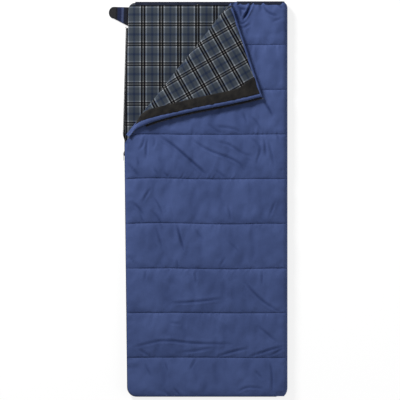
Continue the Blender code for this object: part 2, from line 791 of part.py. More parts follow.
def plate_solid(outline, low_z, high_z):
    sections = [[Vector((x, y, z)) for x, y in outline] for z in (low_z, high_z)]
    return loft(sections)


def tab_place(out, along, z):
    """World place of a point measured out from the edge and along it from the tab's middle."""
    edge = Vector((LEFT_HEAD_X - LEFT_KNEE_X, HEAD_Y - LEFT_KNEE_Y, 0.0)).normalized()
    outward = Vector((-edge.y, edge.x, 0.0))
    start = Vector((*edge_point(TAB_Y, TAB_OUT), z))
    return start + outward * out + edge * along


def tab_edge(out, side):
    """The tab's long edges, which draw together towards its round tip."""
    share = out / TAB_TIP_OUT
    return side * TAB_HALF_WIDTH * (1 - share) + (TAB_TIP_ALONG + side * TAB_TIP_R) * share


def tip_outline(margin, start_out):
    """Round end of the tab: from its straight edge round the tip and back."""
    steps = 10
    radius = TAB_TIP_R - margin
    outline = [(start_out, tab_edge(start_out, 1) - margin)]
    for step in range(steps + 1):
        turn = math.pi / 2 - math.pi * step / steps
        out = TAB_TIP_OUT + TAB_TIP_FLATTEN * radius * math.cos(turn)
        outline.append((out, TAB_TIP_ALONG + radius * math.sin(turn)))
    outline.append((start_out, tab_edge(start_out, -1) + margin))
    return outline


def tab_plate(outline, low_z, high_z):
    return loft([[tab_place(out, along, z) for out, along in outline] for z in (low_z, high_z)])


def make_tab():
    """Closing tab: a root sewn into the edge and a tip that wraps over the closed corner."""
    low_z, high_z = TAB_Z - TAB_THICK / 2, TAB_Z + TAB_THICK / 2
    root_end = TAB_ROOT_LENGTH - GAP / 2
    root = [
        (0.0, -TAB_HALF_WIDTH), (0.0, TAB_HALF_WIDTH),
        (root_end, tab_edge(root_end, 1)), (root_end, tab_edge(root_end, -1)),
    ]
    add_piece("tab_root", "tab_root", "webbing", *tab_plate(root, low_z, high_z))
    tip = tip_outline(0.0, TAB_ROOT_LENGTH + GAP / 2)
    add_piece("tab_tip", "tab_tip", "webbing", *tab_plate(tip, low_z, high_z))
    patch = tip_outline(0.006, TAB_ROOT_LENGTH + 0.004)
    patch_z = high_z + GAP
    add_piece("hook_patch", "tab_tip", "hook", *tab_plate(patch, patch_z, patch_z + CLOTH))


def make_loop_patch():
    """Soft half of the tab's fastener, sewn on the outside of the corner."""
    turn = half_turn()
    _, corner = flap_edges()
    x0, x1 = corner.x + 0.010, corner.x + 0.050
    y0, y1 = TAB_Y - 0.022, TAB_Y + 0.040
    outline = [(x0, y0), (x1, y0), (x1, y1), (x0, y1)]
    z = TOP_CROWN_Z + GAP
    vertices, faces = plate_solid(outline, z, z + CLOTH)
    add_piece("loop_patch", "flap", "hook", [turn @ Vector(v) for v in vertices], faces)


clear_scene()
MATERIALS = {name: make_material(name) for name in COLOURS}
BODIES = make_bodies()
make_base()
make_top()
make_flap()
make_side_fold()
make_fold_bend()
make_bindings()
make_base_zip()
make_top_zip()
make_flap_zip()
make_slider()
make_puller()
make_tab()
make_loop_patch()
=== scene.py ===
"""Looks of a rectangular quilted sleeping bag with a plaid lining and one head corner turned back.

Metres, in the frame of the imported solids: X runs across the bag, +Y to the head end, +Z up.
"""

import json
import math

import bpy
import numpy as np
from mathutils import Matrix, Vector


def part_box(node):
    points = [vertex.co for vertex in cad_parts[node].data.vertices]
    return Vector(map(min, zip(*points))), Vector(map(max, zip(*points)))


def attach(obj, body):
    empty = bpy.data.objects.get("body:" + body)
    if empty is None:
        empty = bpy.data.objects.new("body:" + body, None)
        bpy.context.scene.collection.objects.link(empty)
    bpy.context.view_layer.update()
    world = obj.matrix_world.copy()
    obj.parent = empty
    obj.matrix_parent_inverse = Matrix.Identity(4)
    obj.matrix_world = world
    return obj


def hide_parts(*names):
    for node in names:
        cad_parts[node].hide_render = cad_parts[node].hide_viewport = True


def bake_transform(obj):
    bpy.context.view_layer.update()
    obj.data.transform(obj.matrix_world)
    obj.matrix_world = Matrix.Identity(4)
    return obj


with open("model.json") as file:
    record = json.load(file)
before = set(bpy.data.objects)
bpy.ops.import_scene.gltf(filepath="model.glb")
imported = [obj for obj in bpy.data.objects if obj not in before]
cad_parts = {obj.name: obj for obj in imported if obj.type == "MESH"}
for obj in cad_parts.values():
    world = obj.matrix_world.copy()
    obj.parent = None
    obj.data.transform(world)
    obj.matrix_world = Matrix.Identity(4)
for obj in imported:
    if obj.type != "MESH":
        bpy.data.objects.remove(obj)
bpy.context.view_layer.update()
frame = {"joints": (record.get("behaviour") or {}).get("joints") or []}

# Axes of the opening top and of the turned-back corner
JOINTS = {joint["name"]: joint for joint in frame["joints"]}
RIGHT_X, _, SIDE_AXIS_Z = JOINTS["top_open"]["pos_m"]
FOLD_POINT = np.array(JOINTS["corner_fold"]["pos_m"][:2])
FOLD_AXIS_Z = JOINTS["corner_fold"]["pos_m"][2]
FOLD_ALONG = -np.array(JOINTS["corner_fold"]["axis"][:2])
FOLD_ACROSS = np.array((FOLD_ALONG[1], -FOLD_ALONG[0]))

# Heights and ends of the quilts
FOOT_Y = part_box("base_lining")[0].y
HEAD_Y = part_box("base_lining")[1].y
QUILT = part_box("base_lining")[1].z
TOP_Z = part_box("top_lining")[0].z
BASE_MIDDLE_Z = QUILT / 2
TOP_MIDDLE_Z = TOP_Z + QUILT / 2
FLAP_CROWN_Z = 2 * FOLD_AXIS_Z - TOP_Z
FOLD_OUTER = FLAP_CROWN_Z - FOLD_AXIS_Z
SIDE_INNER = (TOP_Z - QUILT) / 2

# Left edge and corners
LEFT_HEAD_X = -0.3830
LEFT_KNEE = (-0.4020, 0.270)
LEFT_FOOT_X = -0.3880
FOOT_CORNER_R = 0.045
HEAD_CORNER_R = 0.030
SIDE_CORNER_DRAW = 0.55
FOOT_CHAIN_GAP = 0.060
FOOT_CHAIN_END_X = RIGHT_X - FOOT_CHAIN_GAP

# Sewn channels and edges, and the closer rows of the cloth beside them
SEAM_PITCH = 0.220
SEAM_COUNT = 8
FIRST_SEAM_Y = 0.760
SEAMS = FIRST_SEAM_Y - SEAM_PITCH * np.arange(SEAM_COUNT)
FLAP_SEAMS = SEAMS[:2]
SEAM_PINCH = 0.0085
SEAM_DRIFT = 0.0030
SEAM_DRIFT_WAVE = 0.55
SEAM_DRIFT_FADE = 0.080
EDGE_FALL = 0.045
EDGE_HALF = 0.0008
EDGE_STEPS = (0.0, 0.0012, 0.004, 0.009, 0.016, 0.025, 0.035, EDGE_FALL)
SEAM_STEPS = (0.0, 0.0015, 0.004, 0.0075, 0.012, 0.018)

# Turned-back corner, as it lies on the top
FLAP_CORNER = np.array((0.2720, 0.5040))
FLAP_END = np.array((-0.3860, 0.2920))
FLAP_BOW = 0.143
FLAP_BOW_POWER = 1.6
FLAP_HEAD_SKEW = 0.045
FLAP_LEAST = 0.004
BAND_WIDTH = 0.021
BAND_WIDTH_LEFT = 0.034
BAND_RAISE = 0.0008
BAND_CROWN = 0.0032
BAND_GATHER = 0.45
BAND_GATHER_WAVE = 0.026
BAND_STEPS = 6
BAND_TAPER = 0.40
FACING_LAP = 0.004
COVER_SOFT = 0.010
COVER_PRESS = 0.9

# The photograph's frame: metres per pixel and the pixel at the origin
PIXEL = 0.00493
ORIGIN_PIXEL = (206.35, 199.25)
PHOTO_PIXELS = 400

# Creases of the top as strokes through points of the photograph, each with its depth in millimetres
CREASES = (
    (3.4, (160, 136), (173, 145), (186, 156), (199, 168), (206, 175)),
    (2.0, (145, 136), (143, 146), (139, 150)),
    (2.2, (147, 138), (146, 159)),
    (1.8, (153, 137), (155, 143), (153, 148)),
    (2.0, (128, 163), (134, 170), (140, 178)),
    (1.4, (138, 159), (139, 166)),
    (1.6, (154, 169), (158, 175)),
    (1.6, (164, 173), (169, 178)),
    (2.0, (150, 190), (145, 198), (143, 202)),
    (1.8, (153, 197), (159, 206), (163, 216)),
    (1.8, (131, 202), (139, 208), (145, 218)),
    (2.4, (192, 139), (208, 150), (228, 157), (240, 163), (244, 170)),
    (1.8, (216, 141), (230, 144), (243, 154), (251, 156)),
    (1.8, (190, 160), (206, 174)),
    (1.5, (216, 170), (226, 178)),
    (3.2, (263, 101), (268, 107), (273, 116)),
    (1.8, (209, 124), (220, 133)),
    (1.6, (215, 126), (235, 128), (241, 133)),
    (1.8, (243, 113), (247, 123)),
    (1.6, (250, 116), (257, 122), (262, 131)),
    (1.8, (250, 137), (262, 147), (256, 164)),
    (1.8, (264, 138), (266, 156)),
    (1.6, (269, 143), (274, 166)),
    (1.4, (277, 132), (279, 141)),
    (1.6, (281, 169), (286, 174)),
    (1.6, (275, 202), (269, 217)),
    (1.4, (228, 206), (231, 220)),
    (3.2, (177, 226), (180, 237), (184, 250)),
    (1.5, (140, 214), (144, 224)),
    (1.7, (152, 212), (159, 219), (163, 231)),
    (1.6, (156, 228), (163, 250)),
    (1.5, (195, 229), (203, 240)),
    (1.4, (228, 240), (240, 252)),
    (1.5, (177, 260), (178, 270)),
    (1.6, (128, 255), (136, 264)),
    (1.4, (220, 265), (225, 257)),
    (1.7, (195, 271), (196, 283)),
    (1.4, (146, 271), (145, 280)),
    (2.4, (245, 282), (257, 296), (268, 305), (279, 311)),
    (1.6, (262, 272), (262, 284)),
    (2.2, (172, 303), (195, 302), (222, 298)),
    (1.4, (170, 323), (181, 324)),
    (1.8, (258, 326), (276, 341)),
    (2.4, (134, 347), (150, 343), (165, 340), (195, 344), (232, 344)),
    (2.0, (182, 352), (196, 351), (211, 348)),
    (2.4, (218, 356), (234, 351), (248, 348)),
    (2.4, (250, 356), (268, 350), (286, 345)),
    (1.8, (270, 355), (287, 346)),
    (1.6, (140, 350), (150, 356)),
    (1.5, (145, 364), (151, 376)),
    (1.6, (165, 362), (168, 371)),
    (1.5, (196, 359), (190, 369)),
    (2.0, (270, 362), (272, 376), (272, 392)),
    (1.5, (255, 370), (262, 378)),
    (1.8, (237, 392), (247, 386), (262, 388)),
    (1.8, (174, 388), (181, 396)),
    (1.4, (165, 391), (171, 397)),
    (6.5, (233, 7), (236, 14), (239, 21)),
    (6.5, (251, 4), (248, 12), (243, 20)),
    (4.0, (240, 8), (241, 17)),
    (4.0, (236, 5), (240, 9), (247, 10)),
    (3.5, (238, 20), (241, 24), (246, 22)),
    (2.4, (236, 26), (243, 28), (250, 25)),
    (2.8, (264, 8), (269, 14), (277, 16)),
    (2.4, (276, 3), (283, 9)),
    (1.8, (259, 3), (262, 11)),
    (1.5, (272, 22), (283, 18)),
)
CREASE_WIDTH = 0.0065
CREASE_DEPTH = 1.4
DEEP_CREASE = 3.4
# Narrowing of the painted shade in each crease's valley
CREASE_SHADE_NARROWING = 1.25
RIDGE_HEIGHT = 0.5
RIDGE_PLACE = 1.7
STROKE_END = 0.02
STROKE_CUTS = (0.25, 0.75)
MILLIMETRE = 0.001

# Slow waves of each cloth: height, wavelength and seed
TOP_OUTER_WAVES = ((0.0026, 0.26, 11), (0.0013, 0.085, 12))
BASE_INNER_WAVES = ((0.0010, 0.22, 21), (0.0004, 0.06, 22))
TOP_INNER_WAVES = ((0.0008, 0.22, 23),)

# A swell's plane waves: how many, the range of their lengths and what brings the sum to one unit
SWELL_WAVES = 8
SWELL_SPREAD = (0.7, 1.4)
SWELL_LEVEL = 1.4

# Grooves along the sewn lines: depth and width
BASE_GROOVE = (0.006, 0.010)
LINING_GROOVE = (0.0016, 0.012)
FLAP_GROOVE = (0.005, 0.014)

# Gathers off the sewn lines and off the zip edge, which come in patches: the patches' wavelength,
# middle and swing
SEAM_PUCKER = 0.0021
SEAM_PUCKER_WAVE = 0.020
SEAM_PUCKER_LEAN = 0.7
SEAM_PUCKER_START = 0.004
SEAM_PUCKER_REACH = 0.020
SEAM_PUCKER_SEED = 100
SEAM_PATCHES = (0.150, 0.45, 0.8)
EDGE_PUCKER = 0.0030
EDGE_PUCKER_WAVE = 0.030
EDGE_PUCKER_REACH = 0.022
EDGE_PATCHES = (0.200, 0.4, 0.9)

# Painted shade of the outer cloth where it closes on itself, and the patches of the sewn lines' shade
GATHER_SHADE = 0.45
SEAM_SHADE = 0.62
SEAM_SHADE_WIDTH = 0.0022
HOLLOW_SHADE = 0.35
SEAM_SHADE_PATCHES = (0.14, 0.62, 0.5)

# Foot's right corner, where the quilts are sewn together: how far it reaches and how thin it is
FOOT_CLOSE_X = 0.022
FOOT_CLOSE_Y = 0.030
CLOSED_OUTER = 0.0015
CLOSED_INNER = 0.0012
CLOSED_FULL = 0.4


def smooth(share):
    share = np.clip(share, 0.0, 1.0)
    return share * share * (3 - 2 * share)


def mix(low, high, share):
    return low + (high - low) * share


def stacked(*parts):
    """Points from their parts, spread over each other's rows and columns."""
    return np.stack(np.broadcast_arrays(*parts), axis=-1)


def photo_place(pixel):
    """Place on the bag, in metres, of a pixel of the photograph."""
    return np.array(((pixel[0] - ORIGIN_PIXEL[0]) * PIXEL, (ORIGIN_PIXEL[1] - pixel[1]) * PIXEL))


def swell(x, y, wavelength, seed):
    """Seeded sum of plane waves: an even, aimless surface that stays within about one unit."""
    draw = np.random.default_rng(seed)
    total = np.zeros(np.broadcast(x, y).shape)
    for _ in range(SWELL_WAVES):
        angle = draw.uniform(0, math.pi)
        rate = 2 * math.pi / (wavelength * draw.uniform(*SWELL_SPREAD))
        phase = draw.uniform(0, 2 * math.pi)
        total = total + np.sin(rate * (x * math.cos(angle) + y * math.sin(angle)) + phase)
    return total / SWELL_WAVES ** 0.5 / SWELL_LEVEL


def waves(x, y, table):
    return sum(height * swell(x, y, wavelength, seed) for height, wavelength, seed in table)


def patches(x, y, wavelength, middle, swing, seed):
    """1 inside patches that come and go over the cloth, and 0 between them."""
    return smooth(middle + swing * swell(x, y, wavelength, seed))


def unit(vectors):
    return vectors / np.linalg.norm(vectors, axis=1)[:, None]


def line_run(line):
    """Length along a line of points, up to each of them."""
    return np.concatenate(((0.0,), np.cumsum(np.linalg.norm(np.diff(line, axis=0), axis=1))))


def along_line(line, run, lengths):
    """Points at given lengths along a line."""
    return np.stack([np.interp(lengths, run, part) for part in line.T], axis=-1)


def corner_inset(distance, radius):
    """How far a rounded corner draws the side in, at a distance from the end."""
    left = radius - np.clip(distance, 0, radius)
    return radius - np.sqrt(radius ** 2 - left ** 2)


def straight_left(y):
    """Left edge of the base before its corners are rounded."""
    return np.interp(y, (FOOT_Y, LEFT_KNEE[1], HEAD_Y), (LEFT_FOOT_X, LEFT_KNEE[0], LEFT_HEAD_X))


def end_insets(y):
    return corner_inset(y - FOOT_Y, FOOT_CORNER_R) + corner_inset(HEAD_Y - y, HEAD_CORNER_R)


def base_left(y):
    return straight_left(y) + end_insets(y)


def fold_x(y, across):
    """X of the line beside the fold axis, at a distance across it, positive over the top."""
    return FOLD_POINT[0] + ((y - FOLD_POINT[1]) * FOLD_ALONG[0] + across) / FOLD_ALONG[1]


def top_left(y):
    return np.maximum(base_left(y), fold_x(y, FOLD_OUTER))


def half_turn(points):
    """Turns places of the closed corner to where they lie folded back on the top."""
    flat = points[..., :2] - FOLD_POINT
    across = flat @ FOLD_ACROSS
    turned = points.copy()
    turned[..., :2] = points[..., :2] - 2 * across[..., None] * FOLD_ACROSS
    turned[..., 2] = 2 * FOLD_AXIS_Z - points[..., 2]
    return turned


def flat_turn(point):
    return half_turn(np.array((point[0], point[1], 0.0)))[:2]


CLOSED_END = flat_turn(FLAP_END)
CLOSED_CORNER = flat_turn(FLAP_CORNER)
FLAP_HEAD_Y = CLOSED_CORNER[1]


def flap_left(y):
    """Zip edge of the closed corner, which bows in most near the end of the fold."""
    share = np.clip((y - CLOSED_END[1]) / (CLOSED_CORNER[1] - CLOSED_END[1]), 0, 1)
    bow = FLAP_BOW * np.sqrt(share) * (1 - share) ** FLAP_BOW_POWER
    return mix(CLOSED_END[0], CLOSED_CORNER[0], share) + bow


def flap_cover(x, y):
    """1 where the turned-back corner lies on the top and 0 beyond its edges."""
    closed = half_turn(stacked(x, y, np.zeros_like(x)))
    soft = 2 * COVER_SOFT
    inside = smooth((closed[..., 0] - flap_left(closed[..., 1]) + COVER_SOFT) / soft)
    below_head = smooth((FLAP_HEAD_Y + COVER_SOFT - closed[..., 1]) / soft)
    return inside * below_head * (closed[..., 0] < fold_x(closed[..., 1], 0.0))


def seam_distance(y):
    return np.min(np.abs(np.asarray(y)[..., None] - SEAMS), axis=-1)


def channel_swell(y):
    """0 on a sewn line and 1 in the middle of a channel, round in between."""
    share = np.clip(seam_distance(y) / (SEAM_PITCH / 2), 0, 1)
    return np.sqrt(1 - (1 - share) ** 4)


def seam_groove(y, depth, width):
    return depth * np.exp(-seam_distance(y) / width)


def edge_rise(distance):
    """0 at a sewn edge and 1 from EDGE_FALL inwards, round in between."""
    share = np.clip(distance / EDGE_FALL, 0, 1)
    return np.sqrt(1 - (1 - share) ** 2)


def quilt_half(rise):
    """Half the thickness of a quilt, which is thin at a sewn edge."""
    return EDGE_HALF + (QUILT / 2 - EDGE_HALF) * rise


def end_distance(y):
    return np.minimum(y - FOOT_Y, HEAD_Y - y)


def zip_distance(x, y):
    """Distance in from the top's zip edge; beside the fold, where nothing is sewn, a full one."""
    return np.where(y < FOLD_ROW, x - base_left(y), EDGE_FALL)


def base_rise(x, y):
    return edge_rise(np.minimum(x - base_left(y), end_distance(y)))


def top_rise(x, y):
    return edge_rise(np.minimum(zip_distance(x, y), end_distance(y)))


def filled(stations, step):
    """Stations with even ones added wherever two are further apart than a step."""
    stations = np.unique(np.round(stations, 6))
    rows = [stations[0]]
    for before, after in zip(stations, stations[1:]):
        count = max(1, math.ceil((after - before) / step))
        rows.extend(before + (after - before) * np.arange(1, count + 1) / count)
    return np.array(rows)


def seam_stations(lines):
    return [line + side * offset for line in lines for offset in SEAM_STEPS for side in (-1, 1)]


def bag_rows(step):
    """Y of each row of the bag's cloth, closer at the ends and at the sewn lines."""
    stations = [FOOT_Y + offset for offset in EDGE_STEPS]
    stations += [HEAD_Y - offset for offset in EDGE_STEPS]
    return filled(stations + seam_stations(SEAMS), step)


FINE_ROWS = 2000
FOLD_ROWS = np.linspace(0, HEAD_Y, FINE_ROWS)
FOLD_ROW = FOLD_ROWS[np.argmax(fold_x(FOLD_ROWS, FOLD_OUTER) > base_left(FOLD_ROWS))]


def columns(left, right, step):
    """X of each column between two edges: close by the left edge, then even."""
    edge = left[:, None] + np.array(EDGE_STEPS)
    count = max(2, round(float(np.max(right - left)) / step))
    share = np.arange(1, count + 1) / count
    inner = left[:, None] + EDGE_FALL
    return np.hstack((edge, inner + (right[:, None] - inner) * share))


def stroke_field(x, y, points, width):
    """Distance to either side of a crease in widths, and how strong it is at the nearest point."""
    places = np.array([photo_place(point) for point in points])
    for _ in range(2):
        inner = [mix(a, b, share) for a, b in zip(places, places[1:]) for share in STROKE_CUTS]
        places = np.array([places[0]] + inner + [places[-1]])
    lengths = np.linalg.norm(np.diff(places, axis=0), axis=1)
    total = lengths.sum()
    nearest = np.full(x.shape, np.inf)
    signed = np.zeros(x.shape)
    along = np.zeros(x.shape)
    done = 0.0
    for start, end, length in zip(places, places[1:], lengths):
        step = (end - start) / length
        run = np.clip((x - start[0]) * step[0] + (y - start[1]) * step[1], 0, length)
        gap_x = x - start[0] - run * step[0]
        gap_y = y - start[1] - run * step[1]
        gap = np.hypot(gap_x, gap_y)
        closer = gap < nearest
        nearest = np.where(closer, gap, nearest)
        signed = np.where(closer, np.sign(gap_x * step[1] - gap_y * step[0]) * gap, signed)
        along = np.where(closer, (done + run) / total, along)
        done += length
    inside = np.clip(along, STROKE_END, 1 - STROKE_END)
    return signed / width, np.sqrt(np.clip(np.sin(math.pi * inside), 0, 1))


def creases(x, y):
    """Height of the creases, each a valley with a low ridge beside it, and their painted shade."""
    height = np.zeros(x.shape)
    closed = np.zeros(x.shape)
    for depth, *points in CREASES:
        side, fade = stroke_field(x, y, points, CREASE_WIDTH)
        ridges = RIDGE_HEIGHT * np.exp(-(np.abs(side) - RIDGE_PLACE) ** 2)
        height += MILLIMETRE * depth * fade * (ridges - np.exp(-side ** 2))
        # Painted shade along the crease's valley, narrower than the valley
        valley = np.exp(-(CREASE_SHADE_NARROWING * side) ** 2)
        closed = np.maximum(closed, depth / DEEP_CREASE * fade * valley)
    return height, np.clip(closed, 0, 1)


def seam_puckers(x, y):
    """Small gathers that run off each sewn line and die away within a few centimetres."""
    total = np.zeros(x.shape)
    for number, line in enumerate(SEAMS):
        for side in (-1, 1):
            seed = SEAM_PUCKER_SEED + 4 * number + side
            away = np.maximum(side * (y - line), 0)
            lean = np.random.default_rng(seed).uniform(-SEAM_PUCKER_LEAN, SEAM_PUCKER_LEAN)
            ripples = swell(x + lean * away, 0.0, SEAM_PUCKER_WAVE, seed + 1)
            groups = patches(x, 0.0, *SEAM_PATCHES, seed + 2)
            fade = smooth(away / SEAM_PUCKER_START) * np.exp(-away / SEAM_PUCKER_REACH)
            total += ripples * groups * fade
    return total


def edge_puckers(x, y):
    """Short gathers square to the zip edge."""
    ripples = swell(y, 0.0, EDGE_PUCKER_WAVE, seed=71)
    groups = patches(y, 0.0, *EDGE_PATCHES, seed=72)
    return ripples * groups * np.exp(-np.maximum(zip_distance(x, y), 0) / EDGE_PUCKER_REACH)


def seam_drift(x, y):
    """How far along the bag the top's cloth, and with it each sewn line, wanders."""
    sides = np.minimum(x - top_left(y), SIDE_START_X - x)
    fade = smooth(np.minimum(end_distance(y), sides) / SEAM_DRIFT_FADE)
    return SEAM_DRIFT * swell(x, y, SEAM_DRIFT_WAVE, seed=18) * fade


def foot_close(x, y):
    """1 at the foot's right corner, past the zip, where the two quilts are sewn together."""
    across = smooth((x - FOOT_CHAIN_END_X) / FOOT_CLOSE_X)
    return across * smooth((FOOT_Y + FOOT_CLOSE_Y - y) / FOOT_CLOSE_Y)


def top_outer_z(x, y):
    """Height of the top's outer cloth."""
    rise = top_rise(x, y)
    free = 1 - COVER_PRESS * flap_cover(x, y)
    relief = waves(x, y, TOP_OUTER_WAVES)
    relief += SEAM_PUCKER * seam_puckers(x, y) + EDGE_PUCKER * edge_puckers(x, y)
    relief += puffs(x, y) + CREASE_DEPTH * creases(x, y)[0]
    half = quilt_half(rise)
    z = TOP_MIDDLE_Z + half + rise * (relief * free - SEAM_PINCH * (1 - channel_swell(y)))
    return mix(z, SIDE_AXIS_Z + CLOSED_OUTER + half * CLOSED_FULL, foot_close(x, y))


def top_fold_shade(x, y):
    """Painted shade of the top's outer cloth in creases, gathers, hollows and sewn lines."""
    gathers = GATHER_SHADE * np.clip(-edge_puckers(x, y), 0, 1)
    # Painted shade of the sewn lines, which comes and goes in patches
    seam_shade_patches = patches(x, y, *SEAM_SHADE_PATCHES, seed=19)
    seams = SEAM_SHADE * seam_shade_patches * np.exp(-(seam_distance(y) / SEAM_SHADE_WIDTH) ** 2)
    hollows = HOLLOW_SHADE * np.clip(-puffs(x, y) / PUFF_CAP, 0, 1)
    return np.maximum(np.maximum(creases(x, y)[1], hollows), np.maximum(gathers, seams))


def base_outer_z(x, y):
    """Height of the base's outer cloth, which lies flat on the ground but for its seams."""
    rise = base_rise(x, y)
    z = BASE_MIDDLE_Z * (1 - rise) - EDGE_HALF * (1 - rise) + seam_groove(y, *BASE_GROOVE) * rise
    closed = SIDE_AXIS_Z - CLOSED_OUTER - BASE_MIDDLE_Z * CLOSED_FULL * rise
    return mix(z, closed, foot_close(x, y))


def base_inner_z(x, y):
    """Height of the base's lining."""
    rise = base_rise(x, y)
    relief = waves(x, y, BASE_INNER_WAVES) - seam_groove(y, *LINING_GROOVE)
    z = BASE_MIDDLE_Z + (QUILT / 2) * rise + relief * rise
    return mix(z, SIDE_AXIS_Z - CLOSED_INNER, foot_close(x, y))


def top_inner_z(x, y):
    """Height of the top's lining, which faces down."""
    rise = top_rise(x, y)
    relief = waves(x, y, TOP_INNER_WAVES) + seam_groove(y, *LINING_GROOVE)
    z = TOP_MIDDLE_Z - (QUILT / 2) * rise + relief * rise
    return mix(z, SIDE_AXIS_Z + CLOSED_INNER, foot_close(x, y))


# Meshes

def grid_faces(rows, cols, closed=False):
    i = np.arange(rows - 1)[:, None]
    j = np.arange(cols if closed else cols - 1)[None, :]
    k = (j + 1) % cols
    quads = stacked(i * cols + j, i * cols + k, (i + 1) * cols + k, (i + 1) * cols + j)
    return quads.reshape(-1, 4)


def add_object(name, data):
    piece = bpy.data.objects.new(name, data)
    bpy.context.scene.collection.objects.link(piece)
    return piece


def add_mesh(name, vertices, faces, material, uv=None):
    mesh = bpy.data.meshes.new(name)
    points = np.asarray(vertices).reshape(-1, 3).tolist()
    mesh.from_pydata(points, [], [list(map(int, face)) for face in faces])
    if uv is not None:
        layer = mesh.uv_layers.new(name="cloth")
        corner = np.zeros(len(mesh.loops), dtype=np.int32)
        mesh.loops.foreach_get("vertex_index", corner)
        places = np.asarray(uv).reshape(-1, 2)[corner]
        layer.data.foreach_set("uv", places.astype(np.float32).ravel())
    mesh.shade_smooth()
    if material:
        mesh.materials.append(MATERIALS[material])
    return add_object(name, mesh)


def add_grid(name, points, material, uv, flip=False, closed=False):
    """Sheet over a grid of points, rows by columns, or a capped tube where the columns close."""
    rows, cols = points.shape[:2]
    faces = grid_faces(rows, cols, closed)
    if flip:
        faces = faces[:, ::-1]
    faces = faces.tolist()
    if closed:
        faces += [list(range(cols))[::-1], list(range((rows - 1) * cols, rows * cols))]
    return add_mesh(name, points, faces, material, uv)


# Outer cloth of the top, blown up between its sewn lines by a cloth simulation

PUFF_ROWS = 24
PUFF_COLUMN = 0.0092
PUFF_FRAMES = 25
PUFF_START = 0.0008
PUFF_START_WAVE = 0.060
PUFF_CLOTH = {
    "quality": 5, "mass": 0.1, "air_damping": 2.0,
    "tension_stiffness": 15.0, "compression_stiffness": 15.0, "shear_stiffness": 5.0,
    "bending_stiffness": 0.2, "use_pressure": True, "uniform_pressure_force": 0.6,
    "shrink_min": -0.015,
}
PUFF_LEVEL = 0.12
PUFF_FADE = 0.030
PUFF_SHARE = 0.60
PUFF_CAP = 0.005


def blown_cloth(flat, sewn):
    """Grid of points of a cloth, held where it is sewn, after it is blown up."""
    piece = add_mesh("blown_cloth", flat, grid_faces(*flat.shape[:2]), None)
    group = piece.vertex_groups.new(name="sewn")
    group.add(np.flatnonzero(sewn.ravel()).tolist(), 1.0, "REPLACE")
    cloth = piece.modifiers.new("cloth", "CLOTH")
    cloth.settings.vertex_group_mass = "sewn"
    cloth.settings.effector_weights.gravity = 0.0
    for key, value in PUFF_CLOTH.items():
        setattr(cloth.settings, key, value)
    cloth.point_cache.frame_start = 1
    cloth.point_cache.frame_end = PUFF_FRAMES
    for number in range(1, PUFF_FRAMES + 1):
        bpy.context.scene.frame_set(number)
    blown = piece.evaluated_get(bpy.context.evaluated_depsgraph_get())
    places = np.empty(flat.size)
    blown.data.vertices.foreach_get("co", places)
    mesh = piece.data
    bpy.data.objects.remove(piece)
    bpy.data.meshes.remove(mesh)
    bpy.context.scene.frame_set(1)
    return places.reshape(flat.shape)


def make_puffs():
    """Rows and columns of the blown-up cloth and how far it stands off each channel's level."""
    pitch = SEAM_PITCH / PUFF_ROWS
    first = math.ceil((FOOT_Y - SEAMS[0]) / pitch)
    last = math.floor((HEAD_Y - SEAMS[0]) / pitch)
    number = np.arange(first, last + 1)
    y = SEAMS[0] + pitch * number
    x = np.linspace(LEFT_KNEE[0], RIGHT_X, round((RIGHT_X - LEFT_KNEE[0]) / PUFF_COLUMN))
    grid_x, grid_y = np.meshgrid(x, y)
    sewn = np.broadcast_to((number % PUFF_ROWS == 0)[:, None], grid_x.shape).copy()
    sewn[(0, -1), :] = True
    sewn[:, (0, -1)] = True
    start_z = np.where(sewn, 0.0, PUFF_START * swell(grid_x, grid_y, PUFF_START_WAVE, seed=17))
    blown = blown_cloth(stacked(grid_x, grid_y, start_z), sewn)[..., 2]
    half = round(PUFF_LEVEL / PUFF_COLUMN / 2)
    sums = np.cumsum(np.pad(blown, ((0, 0), (half + 1, half)), mode="edge"), axis=1)
    level = (sums[:, 2 * half + 1:] - sums[:, :-2 * half - 1]) / (2 * half + 1)
    fade = smooth(np.minimum(x - x[0], x[-1] - x) / PUFF_FADE)
    return x, y, np.clip(PUFF_SHARE * (blown - level), -PUFF_CAP, PUFF_CAP) * fade


PUFF_X, PUFF_Y, PUFF_HEIGHT = make_puffs()


def spline_weights(places, stations):
    """Four neighbours of each place among even stations and their shares in a cubic spline."""
    last = len(stations) - 1
    step = (places - stations[0]) / (stations[1] - stations[0])
    cell = np.clip(np.floor(step).astype(int), 0, last - 1)
    part = np.clip(step - cell, 0, 1)
    shares = (
        (1 - part) ** 3 / 6, (3 * part ** 3 - 6 * part ** 2 + 4) / 6,
        (-3 * part ** 3 + 3 * part ** 2 + 3 * part + 1) / 6, part ** 3 / 6)
    return [(np.clip(cell + side, 0, last), share) for side, share in zip((-1, 0, 1, 2), shares)]


def puffs(x, y):
    """Rise and fall of the blown-up cloth at places on the top."""
    total = np.zeros(x.shape)
    for row, row_share in spline_weights(y, PUFF_Y):
        for col, col_share in spline_weights(x, PUFF_X):
            total += PUFF_HEIGHT[row, col] * row_share * col_share
    return total


# Materials

CLOTH_SPECULAR = 0.09
# Painted shade in folds: the mesh attribute that carries it and the colour it darkens the cloth to
FOLD_SHADE = "fold_shade"
FOLD_SHADE_COLOUR = (0.30, 0.36, 0.46)
SHEEN_ROUGHNESS = 0.4
WHITE = (1.0, 1.0, 1.0)
DRIFT_STOPS = (0.30, 0.70)
SPECKLE_STOPS = (0.25, 0.75)
SLUB_SCALE = 420.0
SLUB_SHADE = 0.90
SLUB_HEIGHT = 1.5
WEAVE_DEPTH = 0.3


def new_material(name, roughness, sheen=0.0, metallic=0.0, specular=0.5):
    material = bpy.data.materials.new(name)
    material.use_nodes = True
    shader = material.node_tree.nodes["Principled BSDF"]
    shader.inputs["Roughness"].default_value = roughness
    shader.inputs["Metallic"].default_value = metallic
    shader.inputs["Sheen Weight"].default_value = sheen
    shader.inputs["Sheen Roughness"].default_value = SHEEN_ROUGHNESS
    shader.inputs["Specular IOR Level"].default_value = specular
    return material, shader


